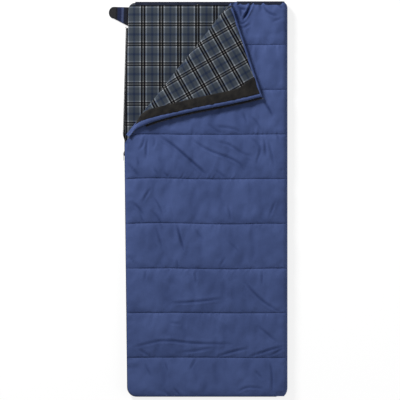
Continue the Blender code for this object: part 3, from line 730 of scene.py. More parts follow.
def add_node(material, kind, inputs=None, **settings):
    node = material.node_tree.nodes.new(kind)
    for key, value in settings.items():
        setattr(node, key, value)
    for key, value in (inputs or {}).items():
        if isinstance(value, bpy.types.NodeSocket):
            material.node_tree.links.new(value, node.inputs[key])
        else:
            node.inputs[key].default_value = value
    return node


def math_node(material, operation, first, second=0.0):
    node = add_node(material, "ShaderNodeMath", {0: first, 1: second}, operation=operation)
    return node.outputs[0]


def ramp(material, factor, stops):
    node = add_node(material, "ShaderNodeValToRGB", {"Fac": factor})
    elements = node.color_ramp.elements
    while len(elements) < len(stops):
        elements.new(0.5)
    for element, (position, colour) in zip(elements, stops):
        element.position = position
        element.color = (*colour, 1.0)
    return node.outputs["Color"]


def multiply(material, first, second):
    node = add_node(material, "ShaderNodeMix", data_type="RGBA", blend_type="MULTIPLY")
    node.inputs["Factor"].default_value = 1.0
    for key, value in ((6, first), (7, second)):
        if isinstance(value, bpy.types.NodeSocket):
            material.node_tree.links.new(value, node.inputs[key])
        else:
            node.inputs[key].default_value = (*value, 1.0)
    return node.outputs[2]


def cloth_place(material):
    """Place on the flat cloth in metres, with its two parts."""
    place = add_node(material, "ShaderNodeUVMap", uv_map="cloth").outputs["UV"]
    parts = add_node(material, "ShaderNodeSeparateXYZ", {0: place})
    return place, parts.outputs["X"], parts.outputs["Y"]


def noise(material, place, scale, detail):
    node = add_node(
        material, "ShaderNodeTexNoise", {"Vector": place, "Scale": scale, "Detail": detail}
    )
    return node.outputs["Fac"]


def weave_height(material, across, along, thread):
    """Plain weave: threads that pass over and under each other."""
    rate = math.pi / thread
    warp = math_node(material, "SINE", math_node(material, "MULTIPLY", across, rate))
    weft = math_node(material, "SINE", math_node(material, "MULTIPLY", along, rate))
    return math_node(material, "MULTIPLY", warp, weft)


def link_bump(material, shader, height, strength, distance):
    bump = add_node(
        material, "ShaderNodeBump", {"Height": height, "Strength": strength, "Distance": distance}
    )
    material.node_tree.links.new(bump.outputs["Normal"], shader.inputs["Normal"])


def link_colour(material, shader, colour):
    material.node_tree.links.new(colour, shader.inputs["Base Color"])


def speckle(material, spots, darkest):
    """Shade that falls to a darkest level in the low spots of a noise."""
    low, high = SPECKLE_STOPS
    return ramp(material, spots, ((low, (darkest,) * 3), (high, WHITE)))


def cloth_material(name, dark, light, roughness, sheen, thread, blotch, bump):
    """Plain woven cloth with slow colour drift, fine slubs and a thread-scale weave."""
    material, shader = new_material(name, roughness, sheen, specular=CLOTH_SPECULAR)
    place, across, along = cloth_place(material)
    drift = noise(material, place, blotch, detail=4.0)
    colour = ramp(material, drift, tuple(zip(DRIFT_STOPS, (dark, light))))
    slub = noise(material, place, SLUB_SCALE, detail=2.0)
    shade = speckle(material, slub, SLUB_SHADE)
    # Painted shade: the cloth darkens towards the fold shade colour where its mesh's fold shade rises
    folds = add_node(material, "ShaderNodeAttribute", attribute_name=FOLD_SHADE).outputs["Fac"]
    painted_fold_shade = ramp(material, folds, ((0.0, WHITE), (1.0, FOLD_SHADE_COLOUR)))
    link_colour(material, shader, multiply(material, multiply(material, colour, shade), painted_fold_shade))
    weave = weave_height(material, across, along, thread)
    height = math_node(material, "ADD", weave, math_node(material, "MULTIPLY", slub, SLUB_HEIGHT))
    link_bump(material, shader, height, bump, thread * WEAVE_DEPTH)
    return material


# Plaid of the lining: one repeat across and along the cloth, and the middle of a plain cell of it
PLAID_ACROSS = 0.0892
PLAID_ALONG = 0.0981
PLAID_START = (-0.3111 + PLAID_ACROSS / 2, 0.863 + PLAID_ALONG / 2)
PLAID_TINT = (0.450, 0.560, 0.720)
PLAIN = (0.315, 0.315, 0.315)
FAINT = (0.19, 0.21, 0.27)
NEAR_PALE = (0.345, 0.34, 0.335)
PALE = (0.88, 0.82, 0.75)
BLACK = (0.040, 0.036, 0.036)
MIDDLE = (0.58, 0.51, 0.44)
SOFT_PALE = (0.72, 0.67, 0.62)
SOFT_BLACK = (0.085, 0.078, 0.078)

# Stripes in shares of a repeat: half the gap between the black lines, a black line, a pale line and
# the step between colours, then the two colours
STRIPES_ACROSS = (0.040, 0.084, 0.066, 0.018, PALE, BLACK)
STRIPES_ALONG = (0.040, 0.054, 0.044, 0.026, SOFT_PALE, SOFT_BLACK)
PALE_GAP = 0.008
FAINT_HALF = 0.030
FAINT_END = 0.085
FUZZ_SCALE = 700.0
FUZZ_WIDTH = 0.0012
NAP_SCALE = 900.0
NAP_SHADE = 0.72
TWILL_PITCH = 0.0018
TWILL_HEIGHT = 0.3


def stripes(half_gap, black, pale, step, pale_colour, black_colour):
    """Stops of one repeat: a pair of black lines between two pale ones, in a plain ground."""
    inner = half_gap
    outer = inner + black
    edge = outer + PALE_GAP
    last = edge + pale
    half = [
        (0.0, FAINT), (FAINT_HALF, FAINT), (FAINT_END, PLAIN), (0.5 - last - step, NEAR_PALE),
        (0.5 - last, pale_colour), (0.5 - edge, pale_colour), (0.5 - outer, black_colour),
        (0.5 - inner, black_colour), (0.5 - inner + step, MIDDLE),
    ]
    return half + [(1.0 - position, colour) for position, colour in reversed(half)]


def plaid_material():
    """Brushed flannel: the two sets of stripes darken or lighten each other where they cross."""
    material, shader = new_material("lining", roughness=0.95, sheen=0.04, specular=0.06)
    place, across, along = cloth_place(material)
    colour = PLAID_TINT
    for part, repeat, lines in (
        (across, PLAID_ACROSS, STRIPES_ACROSS), (along, PLAID_ALONG, STRIPES_ALONG),
    ):
        spots = noise(material, place, FUZZ_SCALE, detail=2.0)
        fuzz = math_node(material, "MULTIPLY", spots, FUZZ_WIDTH)
        share = math_node(material, "DIVIDE", math_node(material, "ADD", part, fuzz), repeat)
        banded = ramp(material, math_node(material, "FRACT", share), stripes(*lines))
        colour = multiply(material, banded, colour)
    nap = noise(material, place, NAP_SCALE, detail=3.0)
    link_colour(material, shader, multiply(material, colour, speckle(material, nap, NAP_SHADE)))
    slant = math_node(material, "ADD", across, along)
    ribs = math_node(material, "MULTIPLY", slant, 2 * math.pi / TWILL_PITCH)
    twill = math_node(material, "MULTIPLY", math_node(material, "SINE", ribs), TWILL_HEIGHT)
    link_bump(material, shader, math_node(material, "ADD", twill, nap), strength=0.5, distance=0.0006)
    return material


# Metal of the slider, puller and stops: dark and worn colour, and the roughness of each
METAL_STOPS = ((0.35, (0.045, 0.045, 0.050)), (0.72, (0.16, 0.16, 0.17)))
METAL_ROUGH = (0.28, 0.52)
METAL_WEAR_SCALE = 260.0

# Tufts of the touch fastener, to a metre
TUFT_SCALE = 900.0


def metal_material():
    material, shader = new_material("metal", roughness=0.36, metallic=1.0)
    place = add_node(material, "ShaderNodeTexCoord").outputs["Object"]
    wear = noise(material, place, METAL_WEAR_SCALE, detail=4.0)
    link_colour(material, shader, ramp(material, wear, METAL_STOPS))
    low, high = METAL_ROUGH
    rough = add_node(material, "ShaderNodeMapRange", {0: wear, 3: low, 4: high})
    material.node_tree.links.new(rough.outputs[0], shader.inputs["Roughness"])
    link_bump(material, shader, wear, strength=0.15, distance=0.0002)
    return material


def hook_material(name, dark, light):
    """Matted hooks or loops of a touch fastener."""
    material, shader = new_material(name, roughness=0.95, sheen=0.3, specular=0.2)
    place = add_node(material, "ShaderNodeTexCoord").outputs["Object"]
    cells = add_node(material, "ShaderNodeTexVoronoi", {"Vector": place, "Scale": TUFT_SCALE})
    tufts = cells.outputs["Distance"]
    link_colour(material, shader, ramp(material, tufts, ((0.0, light), (0.6, dark))))
    link_bump(material, shader, tufts, strength=0.7, distance=0.0008)
    return material


# Closing tab: its weave, and its bands in metres out from the edge of the bag
TAB_SLUB_SCALE = 500.0
TAB_SLUB_SHADE = 0.8
TAB_THREAD = 0.0009
TAB_BANDS = (
    # The near-black band at the bag's edge is a painted shadow
    (0.000, (0.010, 0.010, 0.013)), (0.020, (0.010, 0.012, 0.024)), (0.023, (0.046, 0.060, 0.125)),
    (0.031, (0.046, 0.060, 0.125)), (0.034, (0.013, 0.018, 0.052)), (0.050, (0.013, 0.018, 0.052)),
    (0.053, (0.012, 0.013, 0.018)), (0.095, (0.013, 0.014, 0.018)),
)


def tab_material():
    material, shader = new_material("tab", roughness=0.80, sheen=0.02, specular=CLOTH_SPECULAR)
    place, out, along = cloth_place(material)
    reach = TAB_BANDS[-1][0]
    share = math_node(material, "DIVIDE", out, reach)
    colour = ramp(material, share, [(position / reach, colour) for position, colour in TAB_BANDS])
    shade = speckle(material, noise(material, place, TAB_SLUB_SCALE, detail=2.0), TAB_SLUB_SHADE)
    link_colour(material, shader, multiply(material, colour, shade))
    weave = weave_height(material, out, along, TAB_THREAD)
    link_bump(material, shader, weave, strength=0.4, distance=0.0003)
    return material


# Plain cloths: dark and light colour, roughness, sheen, thread width, coarseness of the colour drift
# and strength of the weave
CLOTHS = {
    "shell": ((0.044, 0.068, 0.178), (0.064, 0.096, 0.240), 0.62, 0.02, 0.0007, 7.0, 0.35),
    "facing": ((0.008, 0.008, 0.009), (0.024, 0.022, 0.020), 0.85, 0.02, 0.0009, 30.0, 0.35),
    "binding": ((0.006, 0.008, 0.017), (0.013, 0.017, 0.034), 0.75, 0.02, 0.0008, 30.0, 0.35),
    "thread": ((0.020, 0.030, 0.085), (0.034, 0.050, 0.125), 0.60, 0.20, 0.0004, 60.0, 0.35),
    "zip": ((0.006, 0.006, 0.008), (0.014, 0.014, 0.016), 0.75, 0.0, 0.0006, 30.0, 0.35),
    "coil": ((0.008, 0.008, 0.010), (0.018, 0.018, 0.020), 0.32, 0.0, 0.0005, 40.0, 0.1),
}
MATERIALS = {name: cloth_material(name, *looks) for name, looks in CLOTHS.items()}
MATERIALS["lining"] = plaid_material()
MATERIALS["metal"] = metal_material()
MATERIALS["tab"] = tab_material()
MATERIALS["hook"] = hook_material("hook", (0.010, 0.010, 0.012), (0.040, 0.040, 0.044))
MATERIALS["loop"] = hook_material("loop", (0.016, 0.018, 0.026), (0.060, 0.064, 0.080))


# Outer cloth and lining of the bag, each one cloth from the base round the right side to the top

SIDE_START_X = RIGHT_X - SIDE_AXIS_Z
SAME_PLACE = 1e-6

# Spacing of the rows, and of the columns on the base and on the top, and the steps of the bend
SHELL_ROW = 0.0065
SHELL_STEPS = (0.016, 0.005, 17)
LINING_ROW = 0.012
LINING_STEPS = (0.009, 0.012, 9)


def side_bend(rows, low_z, high_z, reach, steps):
    """Half round between two heights at the right side, one arc in each row."""
    turn = np.linspace(-math.pi / 2, math.pi / 2, steps + 2)[1:-1]
    x = SIDE_START_X + reach[:, None] * np.cos(turn)
    middle = (low_z + high_z) / 2
    half = (high_z - low_z) / 2
    z = middle[:, None] + half[:, None] * np.sin(turn)
    y = np.broadcast_to(rows[:, None], x.shape)
    return stacked(x, y, z)


def wrapped_cloth(name, rows, under_z, over_z, reach, steps, material, flip=False, shade=None):
    """A cloth that lies along the base, turns at the right side and comes back over the top."""
    base_step, top_step, bend_steps = steps
    right = np.full(len(rows), SIDE_START_X)
    under_x = columns(base_left(rows), right, base_step)
    over_x = columns(top_left(rows), right, top_step)[:, ::-1]
    under_y = np.broadcast_to(rows[:, None], under_x.shape)
    over_y = np.broadcast_to(rows[:, None], over_x.shape)
    under = stacked(under_x, under_y, under_z(under_x, under_y))
    drifted = over_y + seam_drift(over_x, over_y)
    over = stacked(over_x, drifted, over_z(over_x, over_y))
    bend = side_bend(rows, under[:, -1, 2], over[:, 0, 2], reach, bend_steps)
    points = np.concatenate((under, bend, over), axis=1)
    run = np.linalg.norm(np.diff(bend, axis=1), axis=-1).mean(axis=0).sum()
    turned = np.broadcast_to(np.linspace(0, 1, bend_steps + 2)[1:-1], bend.shape[:2])
    u = np.concatenate(
        (under_x, SIDE_START_X + run * turned, 2 * SIDE_START_X + run - over_x), axis=1)
    uv = stacked(u, points[..., 1]) - np.array(PLAID_START)
    piece = add_grid(name, points, material, uv, flip)
    # Painted shade in the top's creases, gathers, hollows and sewn lines, kept on its points
    if shade:
        values = np.zeros(points.shape[:2], dtype=np.float32)
        values[:, -over_x.shape[1]:] = shade(over_x, over_y)
        layer = piece.data.attributes.new(FOLD_SHADE, "FLOAT", "POINT")
        layer.data.foreach_set("value", values.ravel())
    return piece


def make_bag():
    rows = bag_rows(SHELL_ROW)
    draw = 1 - SIDE_CORNER_DRAW * np.clip(end_insets(rows) / SIDE_AXIS_Z, 0, 1)
    shell = wrapped_cloth(
        "bag_shell", rows, base_outer_z, top_outer_z, SIDE_AXIS_Z * draw, SHELL_STEPS,
        "shell", flip=True, shade=top_fold_shade)
    rows = bag_rows(LINING_ROW)
    sewn = SIDE_AXIS_Z * (1 - SIDE_CORNER_DRAW) - EDGE_HALF
    inner = mix(sewn, SIDE_INNER, edge_rise(end_distance(rows)))
    lining = wrapped_cloth(
        "bag_lining", rows, base_inner_z, top_inner_z, inner, LINING_STEPS, "lining")
    for piece in (shell, lining):
        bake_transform(piece)
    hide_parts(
        "base_shell", "base_fill", "side_fold", "top_shell", "top_fill")
    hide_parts("base_lining", "top_lining")


# Turned-back corner

FLAP_TAIL_Y = 0.335
FLAP_TAIL_RUN = 0.11
FLAP_TAIL_LOW = 0.42
FLAP_STEP = 0.008
FLAP_LEAN_START = 0.08
FLAP_FULL_WIDTH = 0.10
FLAP_WAVE = (0.0012, 0.12, 32)
TAIL_RAISE = 0.010
TAIL_LIFT = 0.7
FLAP_CLEAR = 0.0011
SLIT_DEPTH = 0.020
SLIT_LAP = 0.014
SLIT_UNDER = 0.0006
SLIT_STEPS = 6
EDGE_LIFT = 0.006
EDGE_LIFT_WAVE = 0.16
EDGE_LIFT_REACH = 0.11
RIM_LEVEL = math.radians(9.0)
RIM_CLEAR = 0.0015
RIM_STEEPEST = 0.985
RIM_STEPS = 18
RIM_WAVE = 0.05
RIM_WAVELENGTH = 0.15
HEAD_RUN = 0.12


def flap_rows():
    stations = [FLAP_HEAD_Y - offset for offset in EDGE_STEPS] + [FLAP_TAIL_Y]
    return filled(stations + seam_stations(FLAP_SEAMS), FLAP_STEP)


def flap_frame(rows):
    """Ends of each row of the closed corner: at the zip edge and beside the fold."""
    skewed = FLAP_HEAD_Y - FLAP_TAIL_Y - FLAP_LEAN_START
    lean = np.clip((rows - FLAP_TAIL_Y - FLAP_LEAN_START) / skewed, 0, 1)
    stop_y = rows - FLAP_HEAD_SKEW * lean
    stop = stacked(fold_x(stop_y, -FOLD_OUTER), stop_y)
    start_x = np.minimum(flap_left(rows), stop[:, 0] - FLAP_LEAST)
    start = stacked(start_x, rows)
    return start, stop


def flap_tail(rows):
    """How full the fold is: low where it runs out at the left edge and 1 along the rest."""
    return mix(FLAP_TAIL_LOW, 1.0, smooth((rows - FLAP_TAIL_Y) / FLAP_TAIL_RUN))


def flap_grid(rows):
    """Closed places of the corner's cloth, from the zip edge, and their distance to a free edge."""
    start, stop = flap_frame(rows)
    width = np.linalg.norm(stop - start, axis=1)
    fit = np.minimum(1.0, width / FLAP_FULL_WIDTH)
    edge_share = np.array(EDGE_STEPS)[None, :] * fit[:, None] / width[:, None]
    edge = start[:, None, :] + (stop - start)[:, None, :] * edge_share[..., None]
    count = round(float(width.max()) / FLAP_STEP)
    share = np.arange(1, count + 1) / count
    inner = edge[:, -1:, :] + (stop[:, None, :] - edge[:, -1:, :]) * share[None, :, None]
    places = np.concatenate((edge, inner), axis=1)
    along_row = np.linalg.norm(places - start[:, None, :], axis=-1)
    return places, np.minimum(along_row, (FLAP_HEAD_Y - rows)[:, None])


def flap_middle(places, distance, rows):
    """Closed height of the corner's middle plane, which is wavy at its edge.

    It is raised where the fold runs out, so that the corner lies low there when turned back.
    """
    tail = flap_tail(rows)[:, None]
    wave = 0.5 + 0.5 * swell(places[..., 1], 0.0, EDGE_LIFT_WAVE, seed=31)
    lift = EDGE_LIFT * smooth(1 - distance / EDGE_LIFT_REACH) * np.clip(wave, 0, 1)
    return TOP_MIDDLE_Z + (1 - tail) * FOLD_OUTER * TAIL_LIFT - lift


def flap_side(places, distance, rows, side):
    """Points of the corner's lining (side -1) or outer cloth (side 1), where they lie turned back."""
    rise = edge_rise(distance)
    half = quilt_half(rise) * flap_tail(rows)[:, None]
    middle = flap_middle(places, distance, rows)
    if side > 0:
        half = half - seam_groove(rows, *FLAP_GROOVE)[:, None] * rise
        z = np.minimum(middle + half, FOLD_AXIS_Z - FLAP_CLEAR)
    else:
        z = middle - half - waves(places[..., 0], places[..., 1], (FLAP_WAVE,))
    return half_turn(np.concatenate((places, z[..., None]), axis=-1))


def rim_drop(beside):
    """How far the closed bag's outer cloth lies below the fold axis, on the lower side of it."""
    over_top = top_outer_z(beside[:, 0], beside[:, 1])
    over_corner = 2 * FOLD_AXIS_Z - beside[:, 2]
    return FOLD_AXIS_Z - np.minimum(over_top, over_corner) + RIM_CLEAR


def rim_turns(middle, half, drop, steps):
    """Angles round the fold's rim in each row, a drop away from the axis's height where it fits."""
    least = math.sin(RIM_LEVEL)
    rise = np.clip((FOLD_AXIS_Z + drop - middle) / half, least, RIM_STEEPEST)
    fall = np.clip((FOLD_AXIS_Z - drop - middle) / half, -RIM_STEEPEST, -least)
    above = np.linspace(math.pi / 2, np.arcsin(rise), steps // 2 + 1, axis=-1)[:, 1:]
    below = np.linspace(np.arcsin(fall), -math.pi / 2, steps // 2 + 1, axis=-1)
    return np.concatenate((above, below), axis=-1)


def fold_arc(upper, lower_z, reach, steps, drop):
    """Half round of the fold, with its angles: from the corner's edge, over the rim, to the top."""
    middle = (upper[:, 2] + lower_z) / 2
    half = (upper[:, 2] - lower_z) / 2
    turn = rim_turns(middle, half, drop, steps)
    flat = upper[:, None, :2] - (reach[:, None] * np.cos(turn))[..., None] * FOLD_ACROSS
    z = middle[:, None] + half[:, None] * np.sin(turn)
    return np.concatenate((flat, z[..., None]), axis=-1), turn


def drawn_to_head(arc, rows, height):
    """The fold with its head end drawn out along the axis, so that it closes up to the head edge."""
    over = arc[..., 2] > FOLD_AXIS_Z
    closed_y = np.where(over, half_turn(arc)[..., 1], arc[..., 1])
    reach = np.maximum(HEAD_Y - closed_y[-1], 0) / FOLD_ALONG[1]
    share = smooth(1 - (rows[-1] - rows) / HEAD_RUN)
    drawn = arc.copy()
    drawn[..., :2] += (share[:, None] * reach)[..., None] * FOLD_ALONG
    low = np.clip((FOLD_AXIS_Z - arc[..., 2]) / (FOLD_AXIS_Z - arc[:, -1:, 2]), 0, 1)
    fall = height(drawn[..., 0], drawn[..., 1]) - height(arc[..., 0], arc[..., 1])
    drawn[..., 2] += low * fall
    return drawn


# Plaid on the turned-back corner, which lies askew: its strong lines' direction and one crossing
FLAP_PLAID_ANGLE = math.radians(119.5)
FLAP_PLAID_CROSSING = (0.0865, 0.7225)
FLAP_PLAID_SHRINK = 0.95


def flap_plaid(points):
    strong = np.array((math.cos(FLAP_PLAID_ANGLE), math.sin(FLAP_PLAID_ANGLE)))
    across = np.array((strong[1], -strong[0]))
    flat = (points[..., :2] - np.array(FLAP_PLAID_CROSSING)) / FLAP_PLAID_SHRINK
    u = flat @ across + PLAID_ACROSS / 2
    v = flat @ strong + PLAID_ALONG / 2
    return stacked(u, v)


def unrolled(beside, arc):
    """Places on the flat cloth of the fold's half round, which runs on from the corner beside it."""
    both = np.concatenate((beside[:, None, :], arc), axis=1)
    across = (both[..., :2] - FOLD_POINT) @ FOLD_ACROSS
    run = np.cumsum(np.hypot(np.diff(across, axis=1), np.diff(both[..., 2], axis=1)), axis=1)
    return arc[..., :2] + (across[:, :1] - run - across[:, 1:])[..., None] * FOLD_ACROSS


def fold_slit(beside):
    """Outer cloth inside the fold: back from the corner's underside and a little way over the top."""
    top_z = np.minimum(top_outer_z(beside[:, 0], beside[:, 1]), FOLD_AXIS_Z - FLAP_CLEAR)
    reach = np.full(len(beside), SLIT_DEPTH)
    turn, _ = fold_arc(beside, top_z, reach, SLIT_STEPS, 0.0)
    lap = beside.copy()
    lap[:, :2] += SLIT_LAP * FOLD_ACROSS
    lap[:, 2] = np.minimum(top_outer_z(lap[:, 0], lap[:, 1]), FOLD_AXIS_Z - FLAP_CLEAR) - SLIT_UNDER
    return np.concatenate((turn, lap[:, None, :]), axis=1)


def along_cloth(points, lengths):
    """Points at given lengths along each row of a cloth, measured from its first column."""
    found = [along_line(row, line_run(row[:, :3]), reach) for row, reach in zip(points, lengths)]
    return np.stack(found)


def over_lining(lining, normals, lengths, raised):
    """Points a little above the corner's lining, at lengths from its zip edge."""
    both = along_cloth(np.concatenate((lining, normals), axis=-1), lengths)
    return both[..., :3] + raised * both[..., 3:]


def flap_share(rows):
    """0 where the fold runs out and 1 at the corner's head edge."""
    return (rows - rows[0]) / (rows[-1] - rows[0])


def band_width(rows):
    """Width of the outer cloth's turn over the zip edge, most where the fold runs out."""
    return mix(BAND_WIDTH_LEFT, BAND_WIDTH, smooth(flap_share(rows) / BAND_TAPER))


def fold_normals(shape, turn):
    """Way up from the corner's lining: straight up, then turning with the fold's rim."""
    normals = np.zeros(shape)
    normals[..., 2] = 1.0
    rim = turn.shape[1]
    normals[:, -rim:, :2] = -np.cos(turn)[..., None] * FOLD_ACROSS
    normals[:, -rim:, 2] = np.sin(turn)
    return normals


def shell_band(rows, lining_points, normals):
    """Outer cloth that turns over the zip edge onto the lining, slightly gathered."""
    share = np.linspace(1.0, 0.0, BAND_STEPS + 1)[:-1]
    gathers = 1 + BAND_GATHER * swell(rows, 0.0, BAND_GATHER_WAVE, seed=34)[:, None]
    crown = BAND_RAISE + BAND_CROWN * gathers * np.sin(math.pi * share)
    lengths = band_width(rows)[:, None] * share
    return over_lining(lining_points, normals, lengths, crown[..., None])


def make_flap():
    rows = flap_rows()
    places, distance = flap_grid(rows)
    tail = flap_tail(rows)
    upper = flap_side(places, distance, rows, -1)
    lower = flap_side(places, distance, rows, 1)

    top_level = TOP_Z + (1 - tail) * TAIL_RAISE
    rim_wave = 1 + RIM_WAVE * swell(rows, 0.0, RIM_WAVELENGTH, seed=33)
    arc, turn = fold_arc(
        upper[:, -1], top_level, FOLD_OUTER * tail * rim_wave, RIM_STEPS, rim_drop(lower[:, -1]))
    arc = drawn_to_head(arc, rows, top_inner_z)
    lining_points = np.concatenate((upper, arc), axis=1)
    normals = fold_normals(lining_points.shape, turn)
    flat = np.concatenate((upper[..., :2], unrolled(upper[:, -1], arc)), axis=1)
    lining = add_grid("flap_lining_cloth", lining_points, "lining", flap_plaid(flat), flip=True)

    band = shell_band(rows, lining_points, normals)
    slit = drawn_to_head(fold_slit(lower[:, -1]), rows, top_outer_z)
    shell_points = np.concatenate((band, lower, slit), axis=1)
    shell = add_grid("flap_shell_cloth", shell_points, "shell", shell_points[..., :2])

    facing = make_facing(rows, lining_points, normals)
    for piece in (lining, shell, facing):
        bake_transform(piece)
    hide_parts("flap_shell", "flap_fill")
    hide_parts("flap_lining", "fold_bend")
    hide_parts("flap_facing")
    make_flap_roll()


# Facing along the corner's zip edge
FACING_WIDTH = 0.042
FACING_WIDEN = 0.014
FACING_FLARE = 0.034
FACING_FLARE_RUN = 0.16
FACING_RAISE = 0.0018
FACING_STEPS = 8
FACING_UV_WIDTH = 0.06


def make_facing(rows, lining_points, normals):
    """Dark facing sewn along the corner's zip edge, wider at the corner."""
    share = flap_share(rows)
    flare = smooth((share - (1 - FACING_FLARE_RUN)) / FACING_FLARE_RUN)
    width = FACING_WIDTH + FACING_WIDEN * share + FACING_FLARE * flare
    steps = np.linspace(0, 1, FACING_STEPS + 1)
    lengths = (band_width(rows) - FACING_LAP)[:, None] + width[:, None] * steps
    face = over_lining(lining_points, normals, lengths, FACING_RAISE)
    hem = over_lining(lining_points, normals, lengths[:, (0, -1)], 0.0)
    points = np.concatenate((hem[:, :1], face, hem[:, 1:]), axis=1)
    across = np.broadcast_to(np.linspace(0, FACING_UV_WIDTH, points.shape[1]), points.shape[:2])
    uv = stacked(across, points[..., 0])
    return add_grid("flap_facing_cloth", points, "facing", uv, flip=True)


# Rolled head edge of the corner
ROLL_POINTS = 70
ROLL_SECTION = 14
ROLL_HEM = 3
ROLL_TURN = (-0.55 * math.pi, 0.75 * math.pi)
ROLL_R = 0.0068
ROLL_RIPPLE = 0.10
ROLL_RIPPLE_WAVE = 0.05
ROLL_LENGTH = 0.47
ROLL_BACK = 0.0030
ROLL_HEM_IN = 0.010
ROLL_HEM_UP = 0.0022


def make_flap_roll():
    """Rolled head edge of the corner, in the outer cloth."""
    head = np.array((FLAP_HEAD_Y,))
    start, stop = flap_frame(head)
    share = np.linspace(0.0, 1.0, ROLL_POINTS)
    path = start[0] + (stop[0] - start[0]) * share[:, None]
    turn = np.linspace(*ROLL_TURN, ROLL_SECTION)
    ripple = 1 + ROLL_RIPPLE * swell(share * ROLL_LENGTH, 0.0, ROLL_RIPPLE_WAVE, seed=41)
    radius = ROLL_R * ripple
    out = radius[:, None] * np.cos(turn) - ROLL_BACK
    up = radius[:, None] * np.sin(turn)
    inset = np.broadcast_to(np.linspace(0.0, 1.0, ROLL_HEM + 1)[1:], (ROLL_POINTS, ROLL_HEM))
    out = np.hstack((out, out[:, -1:] - ROLL_HEM_IN * inset))
    up = np.hstack((up, up[:, -1:] + ROLL_HEM_UP * inset))
    middle = flap_middle(path[None, :, :], np.zeros((1, ROLL_POINTS)), head)[0]
    closed = np.empty((*out.shape, 3))
    closed[..., 0] = path[:, None, 0]
    closed[..., 1] = path[:, None, 1] + out
    closed[..., 2] = middle[:, None] - up
    points = half_turn(closed)
    roll = add_grid("flap_head_roll", points, "shell", points[..., :2])
    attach(roll, "flap")
    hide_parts("flap_head_binding")


# Bindings along the head edges, one tape from the base round the right side to the top

BINDING_DEPTH = 0.011
BINDING_BEAD = 0.0056
BINDING_RAISE = 0.0009
BINDING_EDGE = 0.0015
BINDING_INSET = 0.002
BINDING_SLIM = 0.55
BINDING_RIPPLE = 0.10
BINDING_RIPPLE_WAVE = 0.035
BINDING_UV_WIDTH = 0.035
BINDING_BASE_POINTS = 90
BINDING_TOP_POINTS = 50
BINDING_BEND_POINTS = 12
BINDING_FACE_POINTS = 5
BINDING_BEAD_POINTS = 5


def binding_section():
    """How far in from the edge and how far from the middle plane the folded tape lies."""
    inner = np.linspace(BINDING_DEPTH, BINDING_EDGE, BINDING_FACE_POINTS)
    away = quilt_half(edge_rise(inner)) + BINDING_RAISE
    turn = np.linspace(math.pi / 2, -math.pi / 2, BINDING_BEAD_POINTS + 2)[1:-1]
    bead_in = -BINDING_BEAD * np.cos(turn)
    bead_away = away[-1] * np.sin(turn)
    depth = np.concatenate((inner, bead_in, inner[::-1]))
    height = np.concatenate((away, bead_away, -away[::-1]))
    return depth, height


def head_path():
    """Middle of the head edge: along the base, round the side and back along the top."""
    start = float(base_left(HEAD_Y)) + BINDING_INSET
    end = float(top_left(HEAD_Y)) + BINDING_INSET
    base_x = np.linspace(start, SIDE_START_X, BINDING_BASE_POINTS)
    top_x = np.linspace(SIDE_START_X, end, BINDING_TOP_POINTS)
    turn = np.linspace(-math.pi / 2, math.pi / 2, BINDING_BEND_POINTS + 2)[1:-1]
    reach = SIDE_AXIS_Z * (1 - SIDE_CORNER_DRAW)
    half = (TOP_MIDDLE_Z - BASE_MIDDLE_Z) / 2
    x = np.concatenate((base_x, SIDE_START_X + reach * np.cos(turn), top_x))
    z = np.concatenate((
        np.full(len(base_x), BASE_MIDDLE_Z), SIDE_AXIS_Z + half * np.sin(turn),
        np.full(len(top_x), TOP_MIDDLE_Z)))
    return x, z


def make_binding():
    x, z = head_path()
    tangent = unit(stacked(np.gradient(x), np.gradient(z)))
    normal = stacked(-tangent[:, 1], tangent[:, 0])
    depth, height = binding_section()
    slim = np.where((x > SIDE_START_X + SAME_PLACE)[:, None], BINDING_SLIM, 1.0) * height[None, :]
    ripple = 1 + BINDING_RIPPLE * swell(x, z, BINDING_RIPPLE_WAVE, seed=51)[:, None]
    points = np.empty((len(x), len(depth), 3))
    points[..., 0] = x[:, None] + normal[:, :1] * slim * ripple
    points[..., 1] = HEAD_Y - depth[None, :]
    points[..., 2] = z[:, None] + normal[:, 1:] * slim * ripple
    run = line_run(stacked(x, z))
    across = np.linspace(0, BINDING_UV_WIDTH, len(depth))
    uv = stacked(run[:, None], across[None, :])
    binding = add_grid("head_binding", points, "binding", uv)
    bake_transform(binding)
    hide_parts("base_head_binding", "top_head_binding")


# Zip: tapes and coils down the left side, round the corner and along the foot

TAPE_THICK = 0.0008
TAPE_OUT = 0.001
TAPE_WIDTH = 0.0145
OPEN_TAPE_WIDTH = 0.008
COIL_R = 0.0016
COIL_PITCH = 0.0028
COIL_RIB = 0.30
SEW_GAP = 0.0003
BASE_COIL_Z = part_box("base_zip_coil")[1].z - COIL_R
TOP_COIL_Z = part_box("top_zip_coil")[0].z + COIL_R
BASE_TAPE_Z = BASE_COIL_Z - COIL_R - SEW_GAP - TAPE_WIDTH
TOP_TAPE_Z = TOP_COIL_Z + COIL_R + SEW_GAP + TAPE_WIDTH
TWIST_START_Y = 0.285
TWIST_END_Y = 0.345
TAPE_TOP_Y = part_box("base_zip_tape")[1].y
TOP_CHAIN_END_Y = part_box("top_zip_tape")[1].y
TAPE_WAVE = 0.0006
TAPE_WAVELENGTH = 0.06
TAPE_STEP = 0.006
COIL_STEP = COIL_PITCH / 4
COIL_SIDES = 6
FLAP_ZIP_GAP = 0.09
FLAP_ZIP_INSET = 0.002
FLAP_ZIP_START_Y = FLAP_TAIL_Y + FLAP_ZIP_GAP
FLAP_ZIP_END_Y = FLAP_HEAD_Y - FLAP_ZIP_INSET


